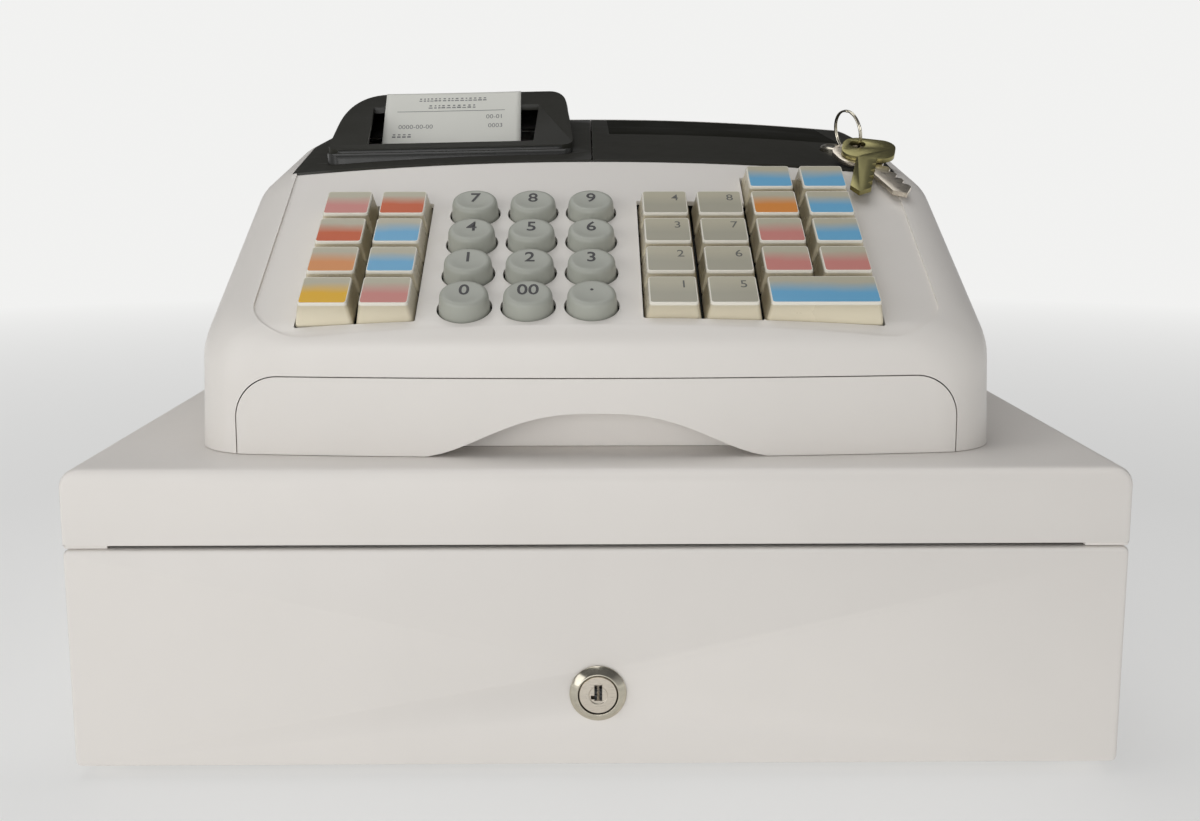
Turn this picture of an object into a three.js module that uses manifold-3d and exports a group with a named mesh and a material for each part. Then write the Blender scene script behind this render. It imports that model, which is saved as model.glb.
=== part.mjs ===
// A small electronic till: a steel cash drawer cabinet that carries a keyboard
// head with a receipt printer. Millimetres, +Z up, front towards -Y.
// The origin lies on the standing surface, under the middle of the footprint.
import * as THREE from "three";
import { mergeVertices } from "three/addons/utils/BufferGeometryUtils.js";
import Module from "manifold-3d";

// Shared
const overrun = 2; // how far a cutting solid passes beyond what it cuts
const seatGap = 0.25; // gap between two pieces that sit against each other
const rightAngle = Math.PI / 2;

// Cabinet
const cabinetWidth = 332.4;
const cabinetDepth = 360;
const caseHeight = 96.5; // from the underside of the cover to its top
const footHeight = 4;
const footRadius = 10;
const footInsetX = 22.7;
const footInsetY = 32;
const coverSheet = 1.6;
const coverCornerRadius = 6.5;
const coverEdgeRadius = 2;
const lidHeight = 24.3; // the cover's front band above the drawer
const lidSlit = 1.3; // dark gap between that band and the drawer
const sideFrameWidth = 14.2; // folded front edge of each side
const frameSetback = 0.4;
const slitTabSetback = 0.8; // top of the side frames, seen in the slit

// Drawer
const drawerFrontThickness = 12;
const drawerFrontInset = 0.4; // narrower than the cabinet on each side
const drawerFrontSheet = 1.8;
const drawerFrontEdge = 1.2;
const drawerFrontCorner = 2;
const frontRibWidth = 18;
const frontRibSpread = 200;
const lockBossRadius = 14;
const drawerTravelRoom = 19; // free depth behind the closed drawer
const boxWallX = 15; // from the cabinet's side to the drawer box
const boxSheet = 1.4;
const boxFloorHeight = 8;
const boxRimDrop = 4; // below the lid's lower edge
const railSheet = 1.6;
const railInset = 3.4; // from the cabinet's side to the rail
const railLift = 24;
const railRoom = 12; // free height in the rail
const railReach = 6.6;
const runnerNotchPlay = 0.8; // between a runner and the notch it passes
const railStart = 22;
const runnerPlay = 0.4;

// Coin and note tray
const trayPlay = 0.25;
const traySetback = 20; // room for the lock's cam behind the box front
const trayHeight = 45;
const trayWall = 2.4;
const trayFloor = 2.6;
const coinRow = 74; // depth of the coin cups
const coinCups = 6;
const coinFloor = 9;
const noteBays = 3;
const clipShelf = 22; // depth of the shelf behind the notes
const clipLug = 3;
const clipLugHeight = 12;
const clipShaftRadius = 2;
const clipWidth = 26;
const clipReach = 92;
const clipThickness = 1.8;
const clipPadLength = 14;
const clipTilt = THREE.MathUtils.degToRad(21);

// Drawer lock
const lockHeight = 28; // from the standing surface
const lockRimRadius = 9;
const lockBarrelRadius = 7.9;
const lockPlugRadius = 6;
const lockRimProud = 2.5;
const lockPlugSink = 1.1; // plug face behind the rim's front
const lockPlay = 0.25;
const lockBarrelLength = 24;
const keywayWidth = 2.2;
const keywayHeight = 5.4;
const keywayDepth = 5;
const camLength = 17;
const camWidth = 8;
const camSheet = 2;

// Keyboard head. Its own frame lies on the cabinet's top, at the cabinet's front.
const headFront = 15.4; // front of the head at the middle
const headDepth = 280;
const headHalfWidth = 131;
const headLean = 0.046; // sides lean in by this share of the height
const headWall = 2.5;
const planCorner = 20;
const shoulderRadius = 18;
const rearRadius = 14;
const foldRadius = 6;
const foldHeight = 40.8; // where the key deck starts
const frontBowRadius = 930;
const crownRadius = 1250;
const deckSlope = THREE.MathUtils.degToRad(27);
const deckRearMargin = 11.7; // up the slope, from the last key row to the black band
const bandSlope = THREE.MathUtils.degToRad(10);
const bandRun = 66.7;
const crestSlope = THREE.MathUtils.degToRad(6);
const crestRun = 64;
const rearSlope = THREE.MathUtils.degToRad(-4);

// Key deck
const deckSink = 0.8; // the deck lies this much below the surround
const deckHalfWidth = 112;
const deckFrontLip = 4;
const deckCorner = 20;

// Front skirt
const skirtHalfWidth = 116;
const skirtHeight = 25.4;
const skirtCorner = 14;
const archHalfSpan = 58;
const archHeight = 14.2;
const recessDepth = 19.3; // from the skirt's face to the recess wall
const recessHeadroom = 4;

// Lower case
const lowerSheet = 2;
const boardPostRadius = 4;
const boardPostBesideKeys = 11.8; // from the middle of the last key column
const boardPostFront = 40;
const boardPostRear = 105;

// Black band on top
const bandBesideLock = 14.5; // from the mode lock to the end of the front edge
const bandHalfRear = 119;
const bandDepth = 128;
const bandThickness = 2.5;
const bandCorner = 5;
const bandSplit = -1; // where the printer cover ends
const ledgeReach = 3;
const ledgeThickness = 2;
const windowStart = 7.5; // from the split
const windowWidth = 95;
const windowDepth = 66.5;
const windowSetback = 60; // behind the band's front edge
const windowSink = 0.8;

// Printer hood
const hoodCentre = -58.5; // middle of the printer below it
const hoodLeftReach = 45.4; // from that middle
const hoodRightReach = 49.6;
const hoodFoot = 67; // the hood's solids start this high, inside the head
const hoodTop = 122.4;
const hoodTilt = 1.2; // degrees, lower on the left as the crowned band is
const hoodLip = 131; // front of the rolled lip, from the cabinet's front
const hoodLipHeight = 97;
const hoodLipDepth = 4;
const hoodLipRound = 1.6;
const hoodFaceHeight = 98.7; // where the sloping face starts, above the lip
const hoodFaceRound = 1.5;
const hoodCrest = 208;
const hoodCrestRound = 4;
const hoodRear = 232;
const hoodRearDrop = 12;
const hoodPlanCorner = 6;
const hoodTopLeftReach = 18; // size of the round at the top left
const hoodTopLeftDrop = 14;
const hoodTopRightReach = 9;
const hoodTopRightDrop = 8;
const hoodRightLean = 2.4;
const hoodRootShare = 0.97; // of the band's thickness that the hood's walls reach into
const hoodWall = 2.4;
const mouthLeftReach = 30; // from the printer's middle, at the mouth's front
const mouthRightReach = 34.7;
const mouthFront = 141.5;
const mouthRear = 189;
const mouthLeftFlare = 3.7;
const mouthRightFlare = 1;

// Receipt paper
const paperWidth = 58;
const paperThickness = 0.3;
const receiptLength = 34;
const receiptTilt = THREE.MathUtils.degToRad(51);
const receiptAbove = 7.2; // the part above the mouth's rear edge
const receiptShift = -1.3;
const rollRadius = 26;
const rollCore = 6;
const spindleRadius = 2.6;
const spindleReach = 1.6;

// Printer frame
const cheekThickness = 2;
const cheekGap = 60;
const printerFront = 150;
const printerDepth = 104;
const printerFloor = 30;
const cheekHeight = 52;
const headBlockDepth = 20;
const headBlockRise = 6;
const tearBarDepth = 3;
const tearBarRise = 3;
const cheekNotchRise = 9; // cheek's edge above the roll's axis
const paperWay = 13; // from the print head block to the guide behind it
const guideDepth = 4;
const guideHeight = 16;
const rollSetback = 66; // roll axis behind the printer's front
const rollLift = 32; // roll axis above the printer's floor
const spindlePlay = 0.25;

// Keys
const keyLift = 4.5; // key tops above the deck at the middle
const keyRoot = 4.6; // how far the caps reach below the deck at the middle
const keyTravel = 3;
const keyPlay = 0.4; // between a cap and its well
const stemSize = 5;
const stemPlay = 0.3;
const capStopGap = 0.9; // from a pressed cap to the key board
const boardThickness = 3;
const boardBesidePost = 4.5; // from the posts' middle to the board's side
const boardStart = 7;
const boardEndMargin = 7.6; // from the board's rear edge to the deck's end
const stemThrough = 2;
const squarePitch = 19.4;
const squareTop = 15;
const squareBase = 18.6;
const squareTopDepth = 14.7;
const squareFrontFoot = 0.55; // how far the cap's front face leans out
const squareCorner = 1.3;
const squareEdge = 0.5;
const squareFirstRow = 16.6;
const squareRows = 4;
const functionRows = 5;
const leftBlockX = -77.4;
const departmentBlockX = 34.2;
const roundPitch = 20.5;
const roundTopRadius = 7.85;
const roundBaseRadius = 8.5;
const roundHoleRadius = 9;
const roundEdge = 1.3;
const roundDish = 0.4;
const roundEdgeShare = 0.29;
const dishReachShare = 0.55;
const dishDepthShare = 0.7;
const roundFirstRow = 15.3;
const roundMiddleX = -22.1;

// Mode lock
const modeLockBesideKeys = 26; // from the middle of the function block
const modeLockBehindBand = 40.7; // behind the band's front edge
const modeRimRadius = 7.6;
const modeLockProud = 2;
const modeLockDepth = 14;
const modePlay = 0.25;
const modeSlotWidth = 2;
const modeSlotLength = 8;

// Loose keys on their ring. The flat keys lie over each other on the deck's
// slope, with their holes in line.
const ringRadius = 8;
const ringWire = 0.75;
const ringLift = 4.2; // ring's centre above the middle of the stacked keys
const ringTurn = THREE.MathUtils.degToRad(117);
const flatKeyThickness = 1.8;
const bowWidth = 20;
const bowDepth = 16;
const bowCorner = 6;
const bowHoleRadius = 3.1;
const bowHoleInset = 5.6;
const bladeWidth = 7.6;
const bladeLength = 27.5;
const bladeBite = 1.6;
const bladeBites = 4;
const bladePlainPitches = 1.5; // pitches left plain at the tip and the shoulder
const keyHoleBesideLock = 1.8; // to the right of the mode lock
const keyHoleBeyondDeck = 10.9; // along the deck's slope
const brassTurn = THREE.MathUtils.degToRad(-14);
const silverTurn = THREE.MathUtils.degToRad(20);

const wasm = await Module();
wasm.setup();

// Materials
function finish(color, roughness, metalness = 0) {
  return new THREE.MeshStandardMaterial({ color, roughness, metalness });
}

const finishes = {
  cabinetPaint: finish("#e6dfdb", 0.5),
  zincSheet: finish("#a9abad", 0.45, 0.8),
  housing: finish("#e9e3e0", 0.42),
  blackPlastic: finish("#23221f", 0.38),
  darkWindow: finish("#100f0e", 0.15),
  trayPlastic: finish("#2b2b2d", 0.55),
  clipPlastic: finish("#8d8f92", 0.5),
  paper: finish("#dfe0dd", 0.85),
  chrome: finish("#c9c6c0", 0.16, 1),
  satinMetal: finish("#b5b1a8", 0.35, 0.9),
  brass: finish("#8f8a55", 0.4, 0.85),
  boardPlastic: finish("#1d1d1e", 0.6),
  roundKey: finish("#aab1b0", 0.45),
  creamKey: finish("#d9d2bd", 0.4),
};

// Solids
function solidOf(geometry) {
  const bare = geometry.clone();
  bare.deleteAttribute("normal");
  bare.deleteAttribute("uv");
  const merged = mergeVertices(bare, 1e-4);
  return new wasm.Manifold(
    new wasm.Mesh({
      numProp: 3,
      vertProperties: merged.attributes.position.array,
      triVerts: new Uint32Array(merged.index.array),
    }),
  );
}

function geometryOf(solid) {
  const mesh = solid.getMesh();
  const geometry = new THREE.BufferGeometry();
  geometry.setAttribute("position", new THREE.BufferAttribute(mesh.vertProperties, 3));
  geometry.setIndex(new THREE.BufferAttribute(mesh.triVerts, 1));
  const flat = geometry.toNonIndexed();
  flat.computeVertexNormals();
  return flat;
}

function joined(solids) {
  return solids.reduce((sum, solid) => sum.add(solid));
}

// A cut that runs along a surface can leave loose flakes: the piece is the
// largest body.
function mainBody(solid) {
  return solid.decompose().sort((a, b) => b.volume() - a.volume())[0];
}

// A box between two corners.
function block(x0, x1, y0, y1, z0, z1) {
  const geometry = new THREE.BoxGeometry(x1 - x0, y1 - y0, z1 - z0);
  geometry.translate((x0 + x1) / 2, (y0 + y1) / 2, (z0 + z1) / 2);
  return solidOf(geometry);
}

// A cylinder from one height to another along +Z.
function post(x, y, radius, z0, z1, sides = 20) {
  const geometry = new THREE.CylinderGeometry(radius, radius, z1 - z0, sides);
  geometry.rotateX(rightAngle);
  geometry.translate(x, y, (z0 + z1) / 2);
  return solidOf(geometry);
}

// A cylinder along +X.
function bar(x0, x1, y, z, radius, sides = 16) {
  const geometry = new THREE.CylinderGeometry(radius, radius, x1 - x0, sides);
  geometry.rotateZ(rightAngle);
  geometry.translate((x0 + x1) / 2, y, z);
  return solidOf(geometry);
}

// A cylinder along +Y.
function rod(x, z, radius, y0, y1, sides = 24) {
  const geometry = new THREE.CylinderGeometry(radius, radius, y1 - y0, sides);
  geometry.translate(x, (y0 + y1) / 2, z);
  return solidOf(geometry);
}

function shapeOf(points) {
  return new THREE.Shape(points.map(([u, v]) => new THREE.Vector2(u, v)));
}

// An outline in plan, raised along +Z.
function raised(shape, z0, z1, curveSegments = 6) {
  const geometry = new THREE.ExtrudeGeometry(shape, {
    depth: z1 - z0,
    bevelEnabled: false,
    curveSegments,
  });
  geometry.translate(0, 0, z0);
  return solidOf(geometry);
}

// An outline in the front view, run back along +Y.
function runBack(shape, y0, y1, curveSegments = 6) {
  const geometry = new THREE.ExtrudeGeometry(shape, {
    depth: y1 - y0,
    bevelEnabled: false,
    curveSegments,
  });
  geometry.rotateX(rightAngle);
  geometry.translate(0, y1, 0);
  return solidOf(geometry);
}

// An outline in the side view, run across along +X.
function runAcross(shape, x0, x1, curveSegments = 6) {
  const geometry = new THREE.ExtrudeGeometry(shape, {
    depth: x1 - x0,
    bevelEnabled: false,
    curveSegments,
  });
  geometry.rotateX(rightAngle);
  geometry.rotateZ(rightAngle);
  geometry.translate(x0, 0, 0);
  return solidOf(geometry);
}

// A rectangle with its own radius at each corner: lower left, lower right,
// upper right, upper left.
function roundedRectangle(x0, x1, y0, y1, radii) {
  const [a, b, c, d] = radii;
  const shape = new THREE.Shape();
  shape.moveTo(x0 + a, y0);
  shape.lineTo(x1 - b, y0);
  if (b > 0) shape.absarc(x1 - b, y0 + b, b, -rightAngle, 0);
  shape.lineTo(x1, y1 - c);
  if (c > 0) shape.absarc(x1 - c, y1 - c, c, 0, rightAngle);
  shape.lineTo(x0 + d, y1);
  if (d > 0) shape.absarc(x0 + d, y1 - d, d, rightAngle, 2 * rightAngle);
  shape.lineTo(x0, y0 + a);
  if (a > 0) shape.absarc(x0 + a, y0 + a, a, 2 * rightAngle, 3 * rightAngle);
  return shape;
}

// Closed rings of matching points, joined in order and capped at both ends.
function skinOver(rings, capAxes) {
  const count = rings[0].length;
  const positions = rings.flat().flatMap((point) => [point.x, point.y, point.z]);
  const faces = [];
  for (let i = 0; i < rings.length - 1; i += 1) {
    for (let j = 0; j < count; j += 1) {
      const a = i * count + j;
      const b = i * count + ((j + 1) % count);
      faces.push(a, b, b + count, a, b + count, a + count);
    }
  }
  const flat = rings.map((ring) =>
    ring.map((point) => new THREE.Vector2(point[capAxes[0]], point[capAxes[1]])),
  );
  const last = rings.length - 1;
  for (const [a, b, c] of THREE.ShapeUtils.triangulateShape(flat[0], [])) {
    faces.push(c, b, a);
  }
  for (const [a, b, c] of THREE.ShapeUtils.triangulateShape(flat[last], [])) {
    faces.push(last * count + a, last * count + b, last * count + c);
  }
  const geometry = new THREE.BufferGeometry();
  geometry.setAttribute("position", new THREE.Float32BufferAttribute(positions, 3));
  geometry.setIndex(faces);
  const solid = solidOf(geometry);
  if (solid.volume() > 0) return solid;
  geometry.setIndex(faces.reverse());
  return solidOf(geometry);
}

// Places a solid's mesh in a group.
function place(parent, name, solid, material, position = [0, 0, 0], rotation = [0, 0, 0]) {
  const mesh = new THREE.Mesh(geometryOf(solid), material.clone());
  mesh.name = name;
  mesh.position.set(...position);
  mesh.rotation.set(...rotation);
  parent.add(mesh);
  return mesh;
}

const register = new THREE.Group();
register.name = "ticket_register";

// Cabinet
const frontY = -(cabinetDepth - lockRimProud) / 2;
const cabinetTop = footHeight + caseHeight;
const sideX = cabinetWidth / 2;
const lidEdge = caseHeight - lidHeight + footHeight;
const frameFront = drawerFrontThickness + frameSetback;
const innerSideX = sideX - coverSheet;
const railOuterX = sideX - railInset;
const railBottom = footHeight + railLift;
const railTop = railBottom + railRoom;

const cabinet = new THREE.Group();
cabinet.position.set(0, frontY, 0);
register.add(cabinet);

// A hollow up to the underside of the roof, whose upper corners follow the
// sheet's fold, so that the sheet keeps its thickness there.
function hollowUnderRoof(y0, y1, z0) {
  const fold = coverCornerRadius - coverSheet;
  const outline = roundedRectangle(
    -innerSideX, innerSideX, z0, cabinetTop - coverSheet, [0, 0, fold, fold],
  );
  const geometry = new THREE.ExtrudeGeometry(outline, {
    depth: y1 - y0,
    bevelEnabled: false,
    curveSegments: 5,
  });
  geometry.rotateX(rightAngle);
  geometry.translate(0, y1, 0);
  return solidOf(geometry);
}

// The cover is one folded sheet: top, sides, back, the lid band in front and
// the narrow frames that show beside the drawer's slit.
function coverSolid() {
  const outline = roundedRectangle(
    -sideX, sideX, footHeight, cabinetTop,
    [0, 0, coverCornerRadius, coverCornerRadius],
  );
  const geometry = new THREE.ExtrudeGeometry(outline, {
    depth: cabinetDepth - 2 * coverEdgeRadius,
    bevelEnabled: true,
    bevelThickness: coverEdgeRadius,
    bevelSize: coverEdgeRadius,
    bevelOffset: -coverEdgeRadius,
    bevelSegments: 2,
    curveSegments: 5,
  });
  geometry.rotateX(rightAngle);
  geometry.translate(0, cabinetDepth - coverEdgeRadius, 0);
  const underside = footHeight - overrun;
  const drawerNotch = block(
    -sideX - overrun, sideX + overrun, -overrun, frameFront, underside, lidEdge,
  );
  const hall = hollowUnderRoof(frameFront + coverSheet, cabinetDepth - coverSheet, underside);
  const lidHollow = hollowUnderRoof(
    coverSheet, frameFront + 2 * coverSheet, lidEdge - overrun,
  );
  const mouthX = sideX - sideFrameWidth;
  const drawerMouth = block(
    -mouthX, mouthX, frameFront - overrun, frameFront + 2 * coverSheet, underside, lidEdge,
  );
  // The drawer's runners pass through a notch in each side frame.
  const runnerNotch = block(
    -railOuterX, railOuterX, frameFront - overrun, frameFront + 2 * coverSheet,
    railBottom - runnerNotchPlay, railTop + runnerNotchPlay,
  );
  // The top of each side frame is folded forward and shows in the slit.
  const slitTabs = block(
    -sideX + coverSheet / 2, sideX - coverSheet / 2, slitTabSetback, frameFront + coverSheet,
    lidEdge - lidSlit + seatGap, lidEdge + overrun,
  ).subtract(block(
    -mouthX, mouthX, 0, frameFront + 2 * coverSheet, underside, lidEdge + 2 * overrun,
  ));
  return solidOf(geometry)
    .subtract(drawerNotch)
    .subtract(hall)
    .subtract(lidHollow)
    .subtract(drawerMouth)
    .subtract(runnerNotch)
    .add(slitTabs);
}

// The base pan closes the cover from below and carries the feet and the rails.
const panX = innerSideX - seatGap;
const panFront = frameFront + coverSheet + seatGap;
const panRear = cabinetDepth - coverSheet - seatGap;
const railRear = panRear - railStart / 2;

function baseSolid() {
  const pan = block(-panX, panX, panFront, panRear, footHeight, footHeight + coverSheet);
  const parts = [pan];
  for (const side of [-1, 1]) {
    const footX = side * (sideX - footInsetX);
    for (const footY of [footInsetY, cabinetDepth - footInsetY]) {
      parts.push(post(footX, footY, footRadius, 0, footHeight + coverSheet / 2));
    }
    const web = [side * railOuterX, side * (railOuterX - railSheet)].sort((a, b) => a - b);
    const shelf = [side * railOuterX, side * (railOuterX - railSheet - railReach)];
    shelf.sort((a, b) => a - b);
    const upper = railTop + railSheet;
    parts.push(block(...web, railStart, railRear, footHeight, upper));
    parts.push(block(...shelf, railStart, railRear, railBottom - railSheet, railBottom));
    parts.push(block(...shelf, railStart, railRear, railTop, upper));
  }
  return joined(parts);
}

place(cabinet, "cabinet_cover", coverSolid(), finishes.cabinetPaint);
place(cabinet, "cabinet_base", baseSolid(), finishes.zincSheet);

// Drawer
const boxX = sideX - boxWallX;
const boxFront = drawerFrontThickness + seatGap;
const boxRear = cabinetDepth - drawerTravelRoom;
const boxBottom = footHeight + boxFloorHeight;
const boxRim = lidEdge - boxRimDrop;
const lockZ = lockHeight;

// The lock's barrel passes through the front and the box wall behind it.
const barrelHole = rod(0, lockZ, lockBarrelRadius + lockPlay, -overrun, boxFront + 2 * overrun);

function drawerBoxSolid() {
  const outer = block(-boxX, boxX, boxFront, boxRear, boxBottom, boxRim);
  const inner = block(
    -boxX + boxSheet, boxX - boxSheet,
    boxFront + boxSheet, boxRear - boxSheet,
    boxBottom + boxSheet, boxRim + overrun,
  );
  const parts = [outer.subtract(inner)];
  const runnerReach = railOuterX - railSheet - runnerPlay;
  for (const side of [-1, 1]) {
    const across = [side * (boxX - boxSheet / 2), side * runnerReach].sort((a, b) => a - b);
    parts.push(block(
      ...across, railStart + boxFront, boxRear,
      railBottom + runnerPlay, railTop - runnerPlay,
    ));
  }
  return joined(parts).subtract(barrelHole);
}

// The front is a folded pan with two stiffening channels and a lock boss.
const frontTop = lidEdge - lidSlit;
const frontX = sideX - drawerFrontInset;

function drawerFrontSolid() {
  const outline = roundedRectangle(
    -frontX, frontX, footHeight, frontTop,
    [drawerFrontCorner, drawerFrontCorner, drawerFrontCorner, drawerFrontCorner],
  );
  const geometry = new THREE.ExtrudeGeometry(outline, {
    depth: drawerFrontThickness - drawerFrontEdge,
    bevelEnabled: true,
    bevelThickness: drawerFrontEdge,
    bevelSize: drawerFrontEdge,
    bevelOffset: -drawerFrontEdge,
    bevelSegments: 2,
    curveSegments: 2,
  });
  geometry.rotateX(rightAngle);
  geometry.translate(0, drawerFrontThickness, 0);
  const trimmed = solidOf(geometry).subtract(block(
    -frontX - overrun, frontX + overrun,
    drawerFrontThickness, drawerFrontThickness + 2 * overrun,
    footHeight - overrun, frontTop + overrun,
  ));
  const hollow = block(
    -frontX + drawerFrontSheet, frontX - drawerFrontSheet,
    drawerFrontSheet, drawerFrontThickness + overrun,
    footHeight + drawerFrontSheet, frontTop - drawerFrontSheet,
  );
  const parts = [trimmed.subtract(hollow)];
  for (const side of [-1, 1]) {
    const ribX = side * frontRibSpread / 2;
    parts.push(block(
      ribX - frontRibWidth / 2, ribX + frontRibWidth / 2,
      drawerFrontSheet / 2, drawerFrontThickness,
      footHeight + drawerFrontSheet / 2, frontTop - drawerFrontSheet / 2,
    ));
  }
  parts.push(rod(0, lockZ, lockBossRadius, drawerFrontSheet / 2, drawerFrontThickness));
  return joined(parts).subtract(barrelHole);
}

const drawer = new THREE.Group();
cabinet.add(drawer);
place(drawer, "drawer_box", drawerBoxSolid(), finishes.zincSheet);
place(drawer, "drawer_front", drawerFrontSolid(), finishes.cabinetPaint);

// Drawer lock: a chromed rim with its barrel, and the plug that turns in it.
const plugBore = lockPlugRadius + lockPlay;
const plugFace = -lockRimProud + lockPlugSink;
const barrelEnd = lockBarrelLength;

function lockRimSolid() {
  const profile = [
    [plugBore, -lockRimProud],
    [plugBore + (lockRimRadius - plugBore) / 3, -lockRimProud],
    [lockRimRadius, -lockRimProud / 4],
    [lockRimRadius, -lockPlay],
    [lockBarrelRadius, -lockPlay],
    [lockBarrelRadius, barrelEnd],
    [plugBore, barrelEnd],
    [plugBore, -lockRimProud],
  ].map(([radius, depth]) => new THREE.Vector2(radius, depth));
  return solidOf(new THREE.LatheGeometry(profile, 28));
}

function lockPlugSolid() {
  const camStart = barrelEnd + lockPlay;
  const plug = rod(0, 0, lockPlugRadius, plugFace, camStart + camSheet);
  const cam = block(
    -camWidth / 2, camWidth / 2, camStart, camStart + camSheet, 0, camLength,
  );
  const slot = block(
    -keywayWidth / 2, keywayWidth / 2, plugFace - overrun, plugFace + keywayDepth,
    -keywayHeight / 2, keywayHeight / 2,
  );
  const dimple = rod(0, 0, keywayHeight / 2, plugFace - overrun, plugFace + keywayWidth / 3);
  return plug.add(cam).subtract(slot).subtract(dimple);
}

place(drawer, "drawer_lock_rim", lockRimSolid(), finishes.chrome, [0, 0, lockZ]);
place(drawer, "drawer_lock_plug", lockPlugSolid(), finishes.satinMetal, [0, 0, lockZ]);

// Coin and note tray: a moulded block with scooped cups in front and note bays
// behind, lifted out whole for counting.
const trayX = boxX - boxSheet - trayPlay;
const trayFront = boxFront + boxSheet + traySetback;
const trayRear = boxRear - boxSheet - trayPlay;
const trayBottom = boxBottom + boxSheet + trayPlay;
const trayTop = trayBottom + trayHeight;
const cupPitch = (2 * trayX - trayWall) / coinCups;
const bayPitch = (2 * trayX - trayWall) / noteBays;
const bayFront = trayFront + coinRow + 2 * trayWall;
const shelfFront = trayRear - clipShelf;
const clipAxisY = trayRear - clipShelf / 2;
const clipAxisZ = trayTop + clipLugHeight / 2;
const clipCentres = Array.from(
  { length: noteBays },
  (_, bay) => -trayX + trayWall / 2 + (bay + 0.5) * bayPitch,
);

function coinTraySolid() {
  const body = block(-trayX, trayX, trayFront, trayRear, trayBottom, trayTop);
  const cuts = [];
  const cupY0 = trayFront + trayWall;
  const cupY1 = cupY0 + coinRow;
  const cupDepth = trayHeight - coinFloor;
  const scoop = new THREE.Shape();
  scoop.moveTo(cupY0, trayTop + overrun);
  scoop.lineTo(cupY0, trayTop);
  scoop.absellipse(
    (cupY0 + cupY1) / 2, trayTop, coinRow / 2, cupDepth, 2 * rightAngle, 4 * rightAngle,
  );
  scoop.lineTo(cupY1, trayTop + overrun);
  for (let cup = 0; cup < coinCups; cup += 1) {
    const x0 = -trayX + trayWall + cup * cupPitch;
    cuts.push(runAcross(scoop, x0, x0 + cupPitch - trayWall, 12));
  }
  for (let bay = 0; bay < noteBays; bay += 1) {
    const x0 = -trayX + trayWall + bay * bayPitch;
    cuts.push(block(
      x0, x0 + bayPitch - trayWall, bayFront, shelfFront,
      trayBottom + trayFloor, trayTop + overrun,
    ));
  }
  const lugs = clipCentres.flatMap((x) => [-1, 1].map((side) => {
    const inner = x + side * (clipWidth / 2 + seatGap);
    const outer = inner + side * clipLug;
    return block(
      Math.min(inner, outer), Math.max(inner, outer),
      clipAxisY - clipLugHeight / 2, clipAxisY + clipLugHeight / 2,
      trayTop - overrun, trayTop + clipLugHeight,
    );
  }));
  const shaftHoles = clipCentres.map((x) => bar(
    x - clipWidth / 2 - 2 * clipLug, x + clipWidth / 2 + 2 * clipLug,
    clipAxisY, clipAxisZ, clipShaftRadius + seatGap,
  ));
  const whole = joined([body, ...lugs]);
  return whole.subtract(joined([...cuts, ...shaftHoles]));
}

// A sprung arm that presses the notes down, in its own frame: the shaft lies
// on X, the arm reaches forward.
function noteClipSolid() {
  const shaft = bar(
    -clipWidth / 2 - clipLug, clipWidth / 2 + clipLug, 0, 0, clipShaftRadius,
  );
  const hub = bar(-clipWidth / 2, clipWidth / 2, 0, 0, clipLugHeight / 2 - seatGap);
  const side = new THREE.Shape();
  const padLift = clipPadLength * Math.tan(clipTilt);
  side.moveTo(0, -clipThickness / 2);
  side.lineTo(-clipReach, -clipThickness / 2);
  side.lineTo(-clipReach - clipPadLength, -clipThickness / 2 + padLift);
  side.lineTo(-clipReach - clipPadLength, clipThickness / 2 + padLift);
  side.lineTo(-clipReach, clipThickness / 2);
  side.lineTo(0, clipThickness / 2);
  const arm = runAcross(side, -clipWidth / 2, clipWidth / 2);
  return joined([shaft, hub, arm]);
}

place(drawer, "coin_note_tray", coinTraySolid(), finishes.trayPlastic);
clipCentres.forEach((x, bay) => {
  place(
    drawer, `note_clip_${bay + 1}`, noteClipSolid(), finishes.clipPlastic,
    [x, clipAxisY, clipAxisZ], [clipTilt, 0, 0],
  );
});

// Keyboard head
const head = new THREE.Group();
head.position.set(0, frontY, cabinetTop);
register.add(head);

const headRear = headFront + headDepth;
const functionBlockX = departmentBlockX + 2 * squarePitch;
const boardPostX = functionBlockX + squarePitch / 2 + boardPostBesideKeys;
const boardHalfWidth = boardPostX + boardBesidePost;
const squareFront = squareTopDepth / 2 + squareFrontFoot;
const squareRear = squareBase - squareFront;
const lastRow = squareFirstRow + (functionRows - 1) * squarePitch;
const deckLength = lastRow + squareRear + deckRearMargin;
const bandFrontY = headFront + deckLength * Math.cos(deckSlope);
const bandFrontZ = foldHeight + deckLength * Math.sin(deckSlope);
const crestY = bandFrontY + bandRun;
const crestZ = bandFrontZ + bandRun * Math.tan(bandSlope);
const summitY = crestY + crestRun;
const summitZ = crestZ + crestRun * Math.tan(crestSlope);

// Height of the head's middle line, and its slope, at a distance from the front.
function middleLine(y) {
  if (y < bandFrontY) return [foldHeight + (y - headFront) * Math.tan(deckSlope), deckSlope];
  if (y < crestY) return [bandFrontZ + (y - bandFrontY) * Math.tan(bandSlope), bandSlope];
  if (y < summitY) return [crestZ + (y - crestY) * Math.tan(crestSlope), crestSlope];
  return [summitZ + (y - summitY) * Math.tan(rearSlope), rearSlope];
}

// How far the plan outline draws in near a front or rear corner.
function cornerDrawIn(distance, radius) {
  if (distance >= radius) return 0;
  return radius - Math.sqrt(Math.max(0, radius ** 2 - (radius - distance) ** 2));
}

// The bow of the front fades out towards the straight edge of the black band.
function bowAt(x, y) {
  const full = headFront + foldRadius;
  const share = THREE.MathUtils.clamp((bandFrontY - y) / (bandFrontY - full), 0, 1);
  return (x ** 2 / (2 * frontBowRadius)) * share;
}

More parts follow.
